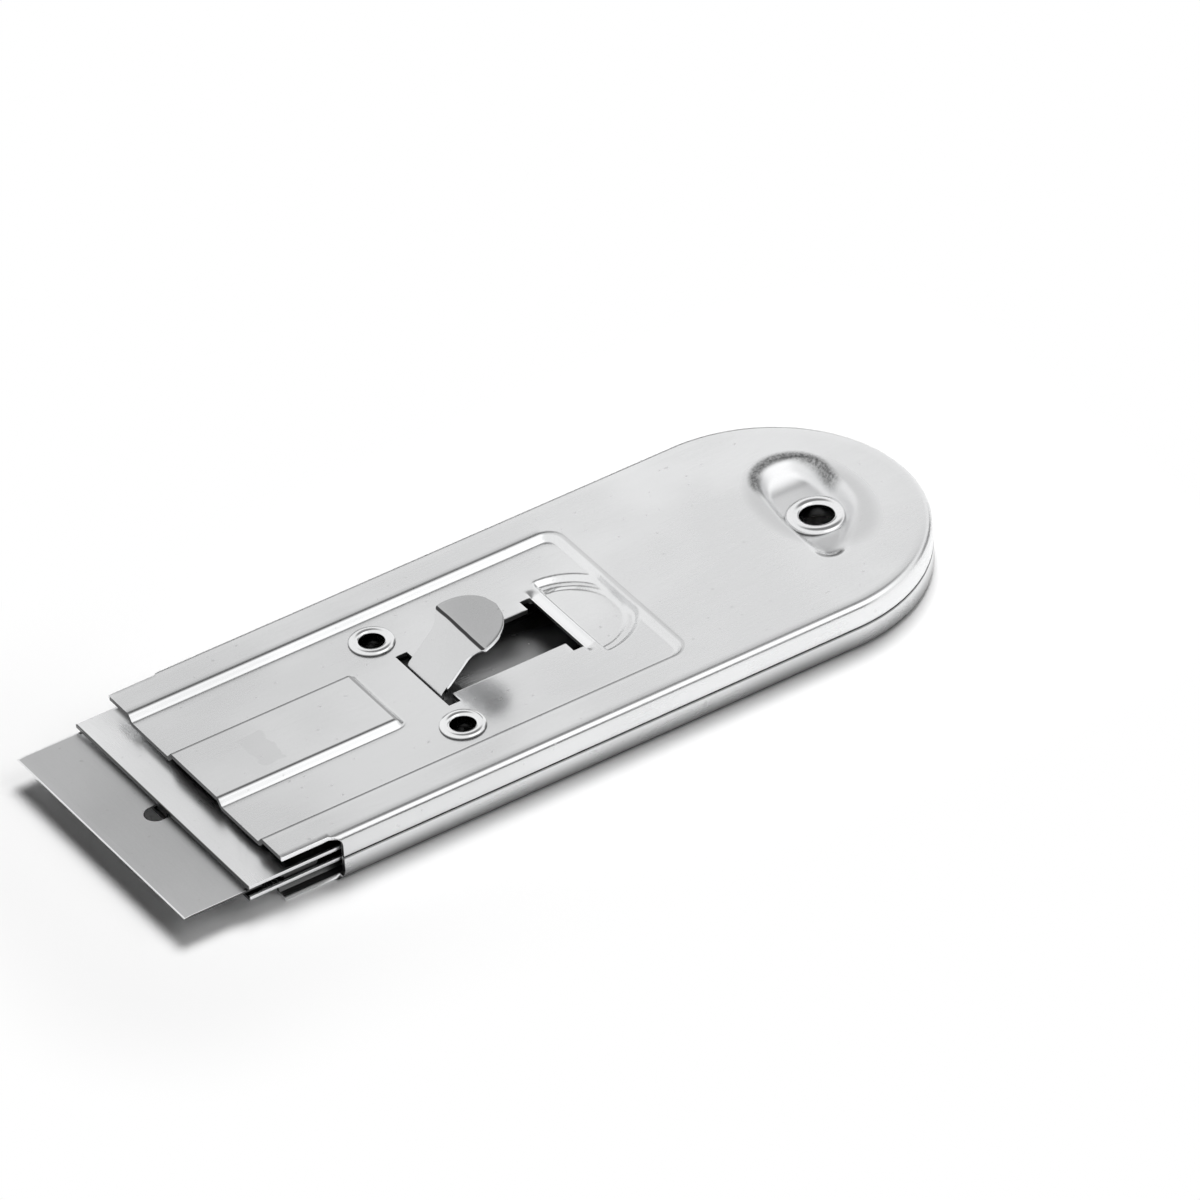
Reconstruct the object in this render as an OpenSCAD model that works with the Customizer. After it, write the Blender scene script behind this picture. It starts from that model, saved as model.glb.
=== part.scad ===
// Razor blade scraper: two pressed steel shells with a sliding blade carriage between them.
// +X runs from the cutting edge to the round end, +Y across the tool, +Z up.
// The origin is under the middle of the whole tool, on the plane that it rests on.

/* [Body] */
// Length of the body from its open front to its round end
body_len = 101.6; // [94:0.2:116]
// Width over the skirts of the shells
body_wid = 41; // [40.6:0.2:46]
// Height over both shells
body_h = 6.5; // [6.1:0.1:8]
// Thickness of the sheet that the shells are pressed from
sheet_t = 0.6; // [0.5:0.02:0.7]
// Outer radius of the bend between the face of a shell and its skirt
bend_r = 0.9; // [0.75:0.05:1.2]
// Gap between the two skirts where the shells meet
seam_gap = 0.08; // [0.04:0.01:0.2]
// Length of the cut-away at the front of both skirts
notch_len = 7.9; // [6.5:0.1:10]
// Radius of the corners at the rear of that cut-away
notch_r = 1.5; // [0.8:0.1:2]

/* [Top panel] */
// Depth of the pressed panel under the face of the top shell
panel_depth = 0.9; // [0.7:0.05:1.1]
// Distance from the middle of a body eyelet to the rim of the panel beside it
panel_side = 5; // [4.6:0.1:5.4]
// Distance from the open front to the rear rim of the panel
panel_len = 60.6; // [60:0.2:66]
// Run of the sloped walls of the panel
panel_run = 0.9; // [0.7:0.1:1.2]
// Radius of the rear corners of the panel's rim, in plan
panel_corner_r = 2.4; // [1.5:0.1:4]
// Width of the raised channel at its top
channel_wid = 10.8; // [10:0.1:12]
// Distance from the open front to the rear foot of the channel
channel_len = 26.1; // [26:0.1:27.5]
// Run of the sloped side walls of the channel
channel_side_run = 0.9; // [0.6:0.1:1.2]
// Run of the sloped rear wall of the channel
channel_rear_run = 0.6; // [0.4:0.05:0.8]

/* [Window] */
// Distance from the open front to the front edge of the window
window_start = 32; // [31.5:0.1:33]
// Width of the window between its two cross slots
window_wid = 8.4; // [8.2:0.1:9.5]
// Width of the cross slots at both ends of the window
slot_wid = 12; // [11.8:0.1:13]
// Length of each cross slot along the body
slot_len = 1.65; // [1.6:0.05:1.9]
// Distance that the blade travels between the two cross slots
travel = 17.75; // [17:0.05:17.9]
// Run of the bevel on the rear edge of the rear cross slot
bevel_run = 1.2; // [0.8:0.1:1.4]
// Drop of that bevel
bevel_drop = 0.35; // [0.2:0.05:0.4]

/* [Finger well] */
// Distance from the window to the straight side of the well
well_gap = 1.6; // [1.4:0.1:1.8]
// Radius of the half-round well at its rim
well_r = 8.5; // [7:0.1:9]
// Depth of the well under the panel
well_depth = 0.7; // [0.4:0.05:0.8]
// Run of the sloped wall round the well
well_run = 2.4; // [1.6:0.1:3]
// Run of the sloped wall at the straight side of the well
well_flat_run = 0.6; // [0.5:0.1:1.2]

/* [Bottom shell] */
// Length of the raised floor that carries the blade holder
floor_len = 37; // [36:0.2:40]
// Width of the raised floor
floor_wid = 34; // [32:0.2:34.6]
// Run of the sloped walls round the raised floor
floor_run = 2; // [1.5:0.1:2.2]
// Radius of the rear corners of the raised floor, in plan
floor_corner_r = 3; // [2:0.1:5]

/* [Eyelets] */
// Distance from the open front to the two body eyelets
eyelet_x = 31.3; // [31.2:0.1:33]
// Distance between the two body eyelets
eyelet_space = 20.4; // [20:0.1:22]
// Bore of a body eyelet
eyelet_bore = 3.1; // [2.8:0.1:3.4]
// Diameter of the rolled rim of a body eyelet
eyelet_rim = 5.8; // [5.4:0.1:6]
// Height of the rolled rim of a body eyelet
eyelet_rim_h = 0.5; // [0.4:0.05:0.6]
// Wall of the eyelets
eyelet_wall = 0.35; // [0.3:0.05:0.45]
// Diameter of the post that carries a body eyelet in the bottom shell
post_d = 6.2; // [6.1:0.1:6.6]

/* [Hang hole] */
// Distance from the round end to the hang hole
hang_inset = 12.8; // [12:0.1:15]
// Bore of the hang eyelet
hang_bore = 4.2; // [3.8:0.1:4.4]
// Diameter of the rolled rim of the hang eyelet
hang_rim = 7.9; // [7.4:0.1:8]
// Height of the rolled rim of the hang eyelet
hang_rim_h = 0.62; // [0.5:0.02:0.7]
// Depth of the dimple round the hang eyelet
dimple_depth = 2.3; // [2:0.1:2.5]
// Length of the dimple across the body
dimple_len = 22; // [20:0.2:24]
// Width of the dimple along the body
dimple_wid = 11; // [10.6:0.1:12]
// Run of the sloped wall of the dimple
dimple_run = 1.4; // [1.1:0.1:1.5]

/* [Blade] */
// Length of the cutting edge
blade_len = 38.1; // [37:0.1:38.5]
// Width of the blade from the cutting edge to its back
blade_wid = 18.5; // [18:0.1:18.7]
// Thickness of the blade
blade_t = 0.23; // [0.2:0.01:0.3]
// Width of the ground bevel at the cutting edge
edge_bevel = 1; // [0.7:0.1:1.4]
// Distance from the cutting edge to the slot in the blade
blade_slot_start = 6.3; // [6:0.1:6.8]
// Length of the slot in the blade, square to the cutting edge
blade_slot_len = 6.4; // [6:0.1:6.8]
// Width of the slot in the blade, along the cutting edge
blade_slot_wid = 3; // [2.8:0.1:3.4]
// Radius of the notch in each end of the blade
blade_notch_r = 1.3; // [1:0.1:1.5]
// Width of the folded spine on the back of the blade
spine_wid = 4.7; // [4:0.1:5]
// Thickness of the folded spine
spine_t = 1.05; // [0.9:0.05:1.1]

/* [Blade holder] */
// Width of the blade holder
holder_wid = 39.1; // [38.6:0.1:39.3]
// Distance that the lips of the holder stand out of the body
holder_reach = 4.8; // [4.2:0.1:5.2]
// Distance that the blade stands out of the lips of the holder
blade_reach = 8.6; // [8.2:0.1:9]
// Length of the holder from its lips to its rear fold
holder_len = 14.8; // [14.6:0.1:15]
// Thickness of the sheet that the holder is folded from
holder_t = 0.45; // [0.4:0.05:0.5]
// Width of the locating tab bent down from the upper lip
locating_tab_wid = 2.2; // [1.8:0.1:2.6]

/* [Thumb spring] */
// Thickness of the thumb spring
spring_t = 0.5; // [0.45:0.01:0.55]
// Width of the spring between the holder and its ears
spring_wid = 8.8; // [8.4:0.1:9.2]
// Width of the ramp that rises through the window
ramp_wid = 7.6; // [7:0.1:7.8]
// Width over the locking ears of the spring
ear_span = 11.5; // [11:0.1:11.6]
// Length of the bar that joins the two ears
ear_bar_len = 2; // [1.5:0.1:3]
// Angle of the short step at the foot of the ramp, in degrees
step_angle = 75; // [72:1:80]
// Rise of that step
step_rise = 0.8; // [0.7:0.05:0.9]
// Angle of the ramp, in degrees
ramp_angle = 44; // [43:0.5:50]
// Length of the ramp
ramp_len = 7.6; // [7:0.1:8.4]
// Height of the part of the ramp that keeps one width
ramp_straight_rise = 3.6; // [3:0.1:4.2]
// Radius of the round thumb pad
pad_r = 5.4; // [5:0.05:6]
// Rise of the thumb pad towards the rear, in degrees
pad_angle = 13; // [8:1:18]
// Diameter of the rivet shanks
rivet_d = 1.5; // [1.4:0.1:1.6]
// Diameter of the rivet heads
rivet_head_d = 2.3; // [2.1:0.1:2.4]
// Height of the rivet heads
rivet_head_h = 0.45; // [0.35:0.05:0.5]
// Distance between the two rivets
rivet_space = 5; // [4.6:0.1:5.2]

/* [Fits] */
// Clearance over and under the parts that slide
slide_gap = 0.08; // [0.05:0.01:0.12]
// Clearance between the spring and the holder under it
spring_gap = 0.04; // [0.02:0.01:0.06]
// Clearance between the blade's spine and the holder
blade_gap = 0.05; // [0.03:0.01:0.08]
// Clearance between a rivet head and the spring that rocks under it
rock_gap = 0.2; // [0.18:0.01:0.24]
// Clearance round the eyelets and rivets in their holes
hole_gap = 0.03; // [0.02:0.01:0.05]
// Clearance between the ears of the spring and the ends of the cross slots
ear_gap = 0.1; // [0.08:0.01:0.15]
// Clearance between pressed faces that rest on each other
rest_gap = 0.02; // [0.01:0.01:0.04]

/* [Hidden] */
$fn = 64;
overrun = 0.5;

shell_steel = "#c8cacc";
eyelet_steel = "#d6d8da";
holder_steel = "#b9bbbd";
blade_steel = "#a9abad";

// Places along the body, counted from the middle of the whole tool
blade_out = holder_reach + blade_reach;
front_x = (blade_out - body_len) / 2;
rear_x = front_x + body_len;
body_r = body_wid / 2;
round_x = rear_x - body_r;
notch_x = front_x + notch_len;
channel_x = front_x + channel_len;
window_x = front_x + window_start;
rear_slot_x = window_x + travel;
window_end = rear_slot_x + slot_len;
well_x = window_end + well_gap;
eyelet_row_x = front_x + eyelet_x;
hang_x = rear_x - hang_inset;

// Heights of the stack between the two shells
seam_z = body_h / 2;
face_low = body_h - sheet_t;
panel_z = body_h - panel_depth;
panel_low = panel_z - sheet_t;
well_z = panel_z - well_depth;
spring_top = panel_low - slide_gap;
spring_low = spring_top - spring_t;
holder_top = spring_low - spring_gap;
holder_space = spine_t + 2 * blade_gap;
fold_r = holder_space / 2 + holder_t;
blade_z = holder_top - fold_r;
floor_z = blade_z - fold_r - slide_gap;
dimple_z = body_h - dimple_depth;
dimple_low = dimple_z - sheet_t;
cup_top = dimple_low - rest_gap;
post_top = panel_low - rest_gap;

// Corners of the pressings in plan, and the slope of their walls
panel_wid = eyelet_space + 2 * panel_side;
panel_corner = [front_x + panel_len - panel_corner_r, panel_wid / 2 - panel_corner_r];
floor_corner = [front_x + floor_len - floor_corner_r, floor_wid / 2 - floor_corner_r];
panel_slope = panel_run / panel_depth;
channel_slope = channel_side_run / panel_depth;
channel_rear_slope = channel_rear_run / panel_depth;
well_slope = well_run / well_depth;
well_flat_slope = well_flat_run / well_depth;
floor_slope = floor_run / floor_z;
dimple_slope = dimple_run / dimple_depth;

// Amounts that keep the sheet at one thickness where it is bent
panel_grow = sheet_grow(panel_slope);
channel_shrink = sheet_grow(channel_slope);
channel_rear_shrink = sheet_grow(channel_rear_slope);
well_grow = sheet_grow(well_slope);
well_flat_grow = sheet_grow(well_flat_slope);
floor_shrink = sheet_grow(floor_slope);
dimple_grow = sheet_grow(dimple_slope);

// Places along the blade, its holder and the spring
lip_x = front_x - holder_reach;
edge_x = front_x - blade_out;
spine_back_x = edge_x + blade_wid;
spine_front_x = spine_back_x - spine_wid;
spine_wall = (spine_t - blade_t) / 2;
fold_x = lip_x + holder_len;
rivet_x = spine_back_x + rivet_head_d / 2;
spring_front_x = rivet_x - rivet_head_d;
bar_x = window_x - ear_bar_len;
ear_x = window_x + slot_len - ear_gap;
foot_x = window_x + ear_gap;

// Points along the upper face of the spring, seen from the side
step_end = [foot_x + step_rise / tan(step_angle), spring_top + step_rise];
crease = step_end + ramp_len * [cos(ramp_angle), sin(ramp_angle)];
pad_end = crease + 2 * pad_r * [cos(pad_angle), sin(pad_angle)];
flare_x = step_end[0] + ramp_straight_rise / tan(ramp_angle);

// Shift of a bent sheet's edge when its wall moves out by run for each unit of height
function sheet_grow(slope) = sheet_t * tan(atan(1 / slope) / 2);

// Corner of the spring's lower face under a bend between two of its straight parts
function under_bend(point, before, after) =
    point + spring_t / cos((after - before) / 2) * [sin((after + before) / 2), -cos((after + before) / 2)];

// Shape in the plane across the body, pushed along it
module along(from, to) {
    translate([from, 0, 0]) rotate([90, 0, 90]) linear_extrude(to - from) children();
}

// Shape in the upright plane along the body, pushed across it
module across(wid) {
    rotate([90, 0, 0]) linear_extrude(wid, center = true) children();
}

module half_section(half, low, high, r) {
    translate([0, low]) square([half, high - low - r]);
    translate([0, low]) square([half - r, high - low]);
    translate([half - r, high - r]) circle(r);
}

// Block with a round rear end and a rolled upper rim
module shell_block(from, half, low, high, r) {
    along(from, round_x) {
        half_section(half, low, high, r);
        mirror([1, 0]) half_section(half, low, high, r);
    }
    translate([round_x, 0, 0]) rotate(-90) rotate_extrude(angle = 180) half_section(half, low, high, r);
}

// Sheet with a skirt, cut away at the front of its sides
module shell_sheet() {
    difference() {
        shell_block(front_x, body_r, seam_z + seam_gap / 2, body_h, bend_r);
        shell_block(front_x - overrun, body_r - sheet_t, seam_z - overrun, face_low, bend_r - sheet_t);
        for (side = [-1, 1]) {
            translate([0, side * (body_r + overrun), 0]) across(2 * (bend_r + overrun)) notch_side();
        }
    }
}

module notch_side() {
    notch_end = notch_x - notch_r;
    translate([front_x - overrun, -overrun]) square([notch_end - front_x + overrun, body_h + 2 * overrun]);
    translate([front_x - overrun, notch_r]) square([notch_x - front_x + overrun, body_h - 2 * notch_r]);
    for (z = [notch_r, body_h - notch_r]) {
        translate([notch_end, z]) circle(notch_r);
    }
}

// Pressing that is open at the front, with sloped walls and round rear corners
module tray(from, corner, low, low_r, high, high_r) {
    along(from, corner[0]) polygon([
        [-corner[1] - low_r, low], [corner[1] + low_r, low],
        [corner[1] + high_r, high], [-corner[1] - high_r, high]
    ]);
    across(2 * corner[1]) polygon([
        [from, low], [corner[0] + low_r, low], [corner[0] + high_r, high], [from, high]
    ]);
    for (side = [-1, 1]) {
        translate([corner[0], side * corner[1], low]) cylinder(h = high - low, r1 = low_r, r2 = high_r);
    }
}

// Ridge in the panel, open at the front
module channel(low, high, shrink, rear_shrink) {
    top_half = channel_wid / 2 - shrink;
    intersection() {
        along(front_x - overrun, channel_x) polygon([
            [-channel_half(low, top_half), low], [channel_half(low, top_half), low],
            [channel_half(high, top_half), high], [-channel_half(high, top_half), high]
        ]);
        across(channel_wid + 2 * panel_wid) polygon([
            [front_x - 2 * overrun, low], [channel_rear(low, rear_shrink), low],
            [channel_rear(high, rear_shrink), high], [front_x - 2 * overrun, high]
        ]);
    }
}

function channel_half(z, top_half) = top_half + (body_h - z) * channel_slope;
function channel_rear(z, shrink) = channel_x - shrink - (z - panel_z) * channel_rear_slope;

// Half-round well with sloped walls, which runs into the rear wall of the panel
module well(drop, grow, flat_grow, rear_grow, high) {
    low = well_z - drop;
    low_r = well_r - well_run + grow;
    high_r = low_r + (high - low) * well_slope;
    flat_low_x = well_x + well_flat_run - flat_grow;
    rear_low_x = panel_rear_x(low + drop) + rear_grow;
    intersection() {
        translate([well_x, 0, low]) cylinder(h = high - low, r1 = low_r, r2 = high_r);
        across(2 * high_r) polygon([
            [flat_low_x, low], [rear_low_x, low],
            [rear_low_x + (high - low) * panel_slope, high], [flat_low_x - (high - low) * well_flat_slope, high]
        ]);
    }
}

function panel_rear_x(z) = panel_corner[0] + panel_corner_r - (body_h - z) * panel_slope;

// Oval cup with sloped walls round the hang hole
module oval_cup(low, low_r, high, high_r) {
    spread = (dimple_len - dimple_wid) / 2;
    for (side = [-1, 1]) {
        translate([hang_x, side * spread, low]) cylinder(h = high - low, r1 = low_r, r2 = high_r);
    }
    across(2 * spread) polygon([
        [hang_x - low_r, low], [hang_x + low_r, low], [hang_x + high_r, high], [hang_x - high_r, high]
    ]);
}

module window() {
    top_z = body_h + overrun;
    cut_z = panel_low - overrun;
    translate([window_x, -window_wid / 2, cut_z]) cube([window_end - window_x, window_wid, top_z - cut_z]);
    for (x = [window_x, rear_slot_x]) {
        translate([x, -slot_wid / 2, cut_z]) cube([slot_len, slot_wid, top_z - cut_z]);
    }
    across(slot_wid) polygon([
        [window_end - slot_len / 2, panel_z - bevel_drop], [window_end, panel_z - bevel_drop],
        [window_end + bevel_run, panel_z], [window_end + bevel_run, panel_z + bevel_drop],
        [window_end - slot_len / 2, panel_z + bevel_drop]
    ]);
}

module top_shell() {
    mid_face = face_low + sheet_t / 2;
    mid_panel = panel_low + sheet_t / 2;
    panel_low_r = panel_corner_r - panel_run;
    dimple_low_r = dimple_wid / 2 - dimple_run;
    color(shell_steel) difference() {
        union() {
            shell_sheet();
            difference() {
                tray(front_x, panel_corner, panel_low, panel_low_r + panel_grow,
                     mid_face, panel_low_r + panel_grow + (mid_face - panel_low) * panel_slope);
                channel(panel_low - overrun, face_low, channel_shrink + sheet_t * channel_slope,
                        channel_rear_shrink + sheet_t * channel_rear_slope);
            }
            well(sheet_t, well_grow, well_flat_grow, panel_grow, mid_panel);
            oval_cup(dimple_low, dimple_low_r + dimple_grow,
                     mid_face, dimple_low_r + dimple_grow + (mid_face - dimple_low) * dimple_slope);
        }
        difference() {
            tray(front_x - overrun, panel_corner, panel_z, panel_low_r,
                 body_h + overrun, panel_corner_r + overrun * panel_slope);
            channel(panel_z - overrun, body_h + 2 * overrun, 0, 0);
        }
        well(0, 0, 0, 0, panel_z + bevel_drop / 2);
        oval_cup(dimple_z, dimple_low_r, body_h + overrun, dimple_wid / 2 + overrun * dimple_slope);
        window();
        for (side = [-1, 1]) {
            translate([eyelet_row_x, side * eyelet_space / 2, panel_low - overrun])
                cylinder(h = sheet_t + 2 * overrun, d = eyelet_hole(eyelet_bore));
        }
        translate([hang_x, 0, dimple_low - overrun])
            cylinder(h = sheet_t + 2 * overrun, d = eyelet_hole(hang_bore));
    }
}

function eyelet_hole(bore) = bore + 2 * (eyelet_wall + hole_gap);

module bottom_shell() {
    mid_sheet = sheet_t / 2;
    cup_r = dimple_wid / 2 - dimple_run;
    color(shell_steel) difference() {
        union() {
            translate([0, 0, body_h]) mirror([0, 0, 1]) shell_sheet();
            tray(front_x, floor_corner, mid_sheet, floor_corner_r + (floor_z - mid_sheet) * floor_slope,
                 floor_z, floor_corner_r);
            oval_cup(mid_sheet, cup_r + dimple_grow + (cup_top - mid_sheet) * dimple_slope,
                     cup_top, cup_r + dimple_grow);
            for (side = [-1, 1]) {
                translate([eyelet_row_x, side * eyelet_space / 2, floor_z - mid_sheet])
                    cylinder(h = post_top - floor_z + mid_sheet, d = post_d);
            }
        }
        tray(front_x - overrun, floor_corner,
             -overrun, floor_corner_r - floor_shrink + (floor_z - sheet_t + overrun) * floor_slope,
             floor_z - sheet_t, floor_corner_r - floor_shrink);
        oval_cup(-overrun, cup_r + (cup_top - sheet_t + overrun) * dimple_slope, cup_top - sheet_t, cup_r);
        for (side = [-1, 1]) {
            translate([eyelet_row_x, side * eyelet_space / 2, 0]) {
                cylinder(h = post_top - sheet_t, d = post_d - 2 * sheet_t);
                cylinder(h = post_top + overrun, d = eyelet_hole(eyelet_bore));
            }
        }
        translate([hang_x, 0, 0]) cylinder(h = cup_top + overrun, d = eyelet_hole(hang_bore));
    }
}

module rim_section(inner, outer, h) {
    translate([inner, 0]) square([outer - inner, h / 2]);
    translate([inner + h / 2, 0]) square([outer - inner - h, h]);
    for (r = [inner + h / 2, outer - h / 2]) {
        translate([r, h / 2]) circle(h / 2);
    }
}

// Rolled eyelet that clamps the sheets between low and high
module eyelet(bore, rim, low_rim, rim_h, low, high) {
    rotate_extrude() {
        translate([bore / 2, low - rim_h / 2]) square([eyelet_wall, high - low + rim_h]);
        translate([0, high]) rim_section(bore / 2, rim / 2, rim_h);
        translate([0, low]) mirror([0, 1]) rim_section(bore / 2, low_rim / 2, rim_h);
    }
}

module body_eyelet(side) {
    color(eyelet_steel) translate([eyelet_row_x, side * eyelet_space / 2, 0])
        eyelet(eyelet_bore, eyelet_rim, post_d - 2 * sheet_t - 2 * hole_gap, eyelet_rim_h,
               post_top - sheet_t, panel_z);
}

module body_eyelet_near() {
    body_eyelet(-1);
}

module body_eyelet_far() {
    body_eyelet(1);
}

module hang_eyelet() {
    color(eyelet_steel) translate([hang_x, 0, 0])
        eyelet(hang_bore, hang_rim, hang_rim, hang_rim_h, cup_top - sheet_t, dimple_z);
}

module fold_outline(from, r) {
    translate([from, blade_z - r]) square([fold_x - fold_r - from, 2 * r]);
    translate([fold_x - fold_r, blade_z]) circle(r);
}

module blade_holder() {
    tab_low = blade_z - blade_t / 2 - blade_gap;
    color(holder_steel) difference() {
        union() {
            across(holder_wid) difference() {
                fold_outline(lip_x, fold_r);
                fold_outline(lip_x - overrun, holder_space / 2);
            }
            translate([lip_x, -locating_tab_wid / 2, tab_low])
                cube([holder_t, locating_tab_wid, holder_top - holder_t / 2 - tab_low]);
        }
        for (side = [-1, 1]) {
            translate([rivet_x, side * rivet_space / 2, blade_z])
                cylinder(h = fold_r + overrun, d = rivet_d + 2 * hole_gap);
        }
    }
}

module razor_blade() {
    slot_x = edge_x + blade_slot_start;
    slot_r = blade_slot_wid / 2;
    back_x = spine_back_x - spine_wall - rest_gap;
    tip = blade_t / 8;
    color(blade_steel) translate([0, 0, blade_z]) difference() {
        across(blade_len) polygon([
            [edge_x, -tip / 2], [edge_x + edge_bevel, -blade_t / 2], [back_x, -blade_t / 2],
            [back_x, blade_t / 2], [edge_x + edge_bevel, blade_t / 2], [edge_x, tip / 2]
        ]);
        translate([slot_x + slot_r, 0, -blade_t]) {
            translate([0, -slot_r, 0]) cube([blade_slot_len - blade_slot_wid, blade_slot_wid, 2 * blade_t]);
            cylinder(h = 2 * blade_t, r = slot_r);
            translate([blade_slot_len - blade_slot_wid, 0, 0]) cylinder(h = 2 * blade_t, r = slot_r);
        }
        for (side = [-1, 1]) {
            translate([spine_front_x - blade_notch_r - overrun, side * blade_len / 2, -blade_t])
                cylinder(h = 2 * blade_t, r = blade_notch_r);
        }
    }
}

module blade_spine() {
    round_r = spine_t / 2;
    color(holder_steel) translate([0, 0, blade_z]) across(blade_len) difference() {
        union() {
            translate([spine_front_x, -round_r]) square([spine_wid - round_r, spine_t]);
            translate([spine_back_x - round_r, 0]) circle(round_r);
        }
        translate([spine_front_x - overrun, -blade_t / 2 - rest_gap])
            square([spine_wid - spine_wall + overrun, blade_t + 2 * rest_gap]);
    }
}

module spring_side() {
    polygon([
        [spring_front_x, spring_top], [foot_x, spring_top], step_end, crease, pad_end,
        under_bend(pad_end, pad_angle, pad_angle),
        under_bend(crease, ramp_angle, pad_angle),
        under_bend(step_end, step_angle, ramp_angle),
        under_bend([foot_x, spring_top], 0, step_angle),
        [spring_front_x, spring_low]
    ]);
}

module spring_plan() {
    translate([spring_front_x, -spring_wid / 2]) square([bar_x + ear_bar_len / 2 - spring_front_x, spring_wid]);
    translate([bar_x, -ramp_wid / 2]) square([flare_x - bar_x, ramp_wid]);
    polygon([
        [flare_x, -ramp_wid / 2], [crease[0], -pad_r], [crease[0], pad_r], [flare_x, ramp_wid / 2]
    ]);
    intersection() {
        translate([crease[0], 0]) circle(pad_r);
        translate([crease[0], -pad_r]) square([pad_r, 2 * pad_r]);
    }
}

module thumb_spring() {
    ear_in = ramp_wid / 2 + 2 * ear_gap;
    color(holder_steel) difference() {
        union() {
            intersection() {
                across(4 * pad_r) spring_side();
                linear_extrude(pad_end[1] + overrun) spring_plan();
            }
            translate([bar_x, -ear_span / 2, spring_low]) cube([ear_bar_len, ear_span, spring_t]);
            for (side = [-1, 1]) {
                translate([bar_x, side * (ear_in + ear_span / 2) / 2 - (ear_span / 2 - ear_in) / 2, spring_low])
                    cube([ear_x - bar_x, ear_span / 2 - ear_in, spring_t]);
            }
        }
        for (side = [-1, 1]) {
            translate([rivet_x, side * rivet_space / 2, spring_low - overrun])
                cylinder(h = spring_t + 2 * overrun, d = rivet_d + 4 * hole_gap);
        }
    }
}

module rivet(side) {
    head_z = spring_top + rock_gap;
    low_h = rivet_head_h / 2;
    shank_low = holder_top - holder_t - low_h;
    color(eyelet_steel) translate([rivet_x, side * rivet_space / 2, 0]) {
        translate([0, 0, shank_low]) cylinder(h = head_z + low_h - shank_low, d = rivet_d);
        translate([0, 0, shank_low]) cylinder(h = low_h, d = rivet_head_d - 2 * blade_gap);
        translate([0, 0, head_z]) cylinder(h = low_h, d = rivet_head_d);
        translate([0, 0, head_z + low_h]) cylinder(h = low_h, d1 = rivet_head_d, d2 = rivet_d);
    }
}

module rivet_near() {
    rivet(-1);
}

module rivet_far() {
    rivet(1);
}

top_shell();
bottom_shell();
body_eyelet_near();
body_eyelet_far();
hang_eyelet();
blade_holder();
razor_blade();
blade_spine();
thumb_spring();
rivet_near();
rivet_far();
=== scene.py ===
"""Looks of the razor blade scraper: plated pressed steel, folded holder and sprung thumb tab."""
import logging
import math
from dataclasses import dataclass
from enum import Enum

import bmesh
import bpy
from mathutils import Matrix, Vector


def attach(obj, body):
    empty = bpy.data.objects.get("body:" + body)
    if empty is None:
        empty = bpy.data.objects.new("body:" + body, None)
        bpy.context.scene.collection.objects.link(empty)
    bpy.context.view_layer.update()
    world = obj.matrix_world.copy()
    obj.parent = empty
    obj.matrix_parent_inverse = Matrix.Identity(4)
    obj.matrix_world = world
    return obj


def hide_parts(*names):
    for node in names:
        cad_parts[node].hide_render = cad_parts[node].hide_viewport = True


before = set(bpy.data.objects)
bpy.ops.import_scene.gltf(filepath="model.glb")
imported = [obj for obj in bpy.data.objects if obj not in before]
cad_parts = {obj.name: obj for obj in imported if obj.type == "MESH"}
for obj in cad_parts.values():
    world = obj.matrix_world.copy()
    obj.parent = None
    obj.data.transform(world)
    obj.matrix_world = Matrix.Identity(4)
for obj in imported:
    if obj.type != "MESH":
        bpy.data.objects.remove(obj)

LOG = logging.getLogger("scraper")
MM = 0.001
PER_MM = 1000.0
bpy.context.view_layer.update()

Pair = tuple[float, float]
Triple = tuple[float, float, float]
Piece = bpy.types.Object
Skin = bpy.types.Material


def smooth_step(u: float) -> float:
    """Rise from 0 to 1 with rounded ends, as a press leaves a wall."""
    u = min(1.0, max(0.0, u))
    return u * u * (3.0 - 2.0 * u)


def ramp(u: float, soft: float) -> float:
    """Rise from 0 to 1 along a straight wall with a bend of its own at each end.

    Args:
        u: Place across the wall, from 0 to 1.
        soft: Share of the wall that each bend takes, up to 0.5.

    Returns:
        The share of the wall's height at that place.
    """
    u = min(1.0, max(0.0, u))
    slope = 1.0 / (1.0 - soft)
    if u < soft:
        return slope * u * u / (2.0 * soft)
    if u > 1.0 - soft:
        return 1.0 - slope * (1.0 - u) ** 2 / (2.0 * soft)
    return slope * (u - soft / 2.0)


def spaced(stops: list[float], step: float) -> list[float]:
    """Fill the gaps between fixed places with even steps.

    Args:
        stops: Places that must be kept, in rising order.
        step: Largest step between two places.

    Returns:
        All the places, in rising order.
    """
    places = [stops[0]]
    for low, high in zip(stops, stops[1:]):
        count = max(1, math.ceil((high - low) / step - 1e-6))
        places += [low + (high - low) * i / count for i in range(1, count + 1)]
    return places


def inside_corner(dx: float, dy: float, corner: float) -> float:
    """Distance inside an outline with a rounded corner.

    Args:
        dx: Distance past the corner's centre, along the tool.
        dy: Distance past the corner's centre, across the tool.
        corner: Radius of the corner.

    Returns:
        The distance, below 0 outside the outline.
    """
    if dx > 0.0 and dy > 0.0:
        return corner - math.hypot(dx, dy)
    return corner - max(dx, dy)


# ---------------------------------------------------------------- shading

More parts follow.
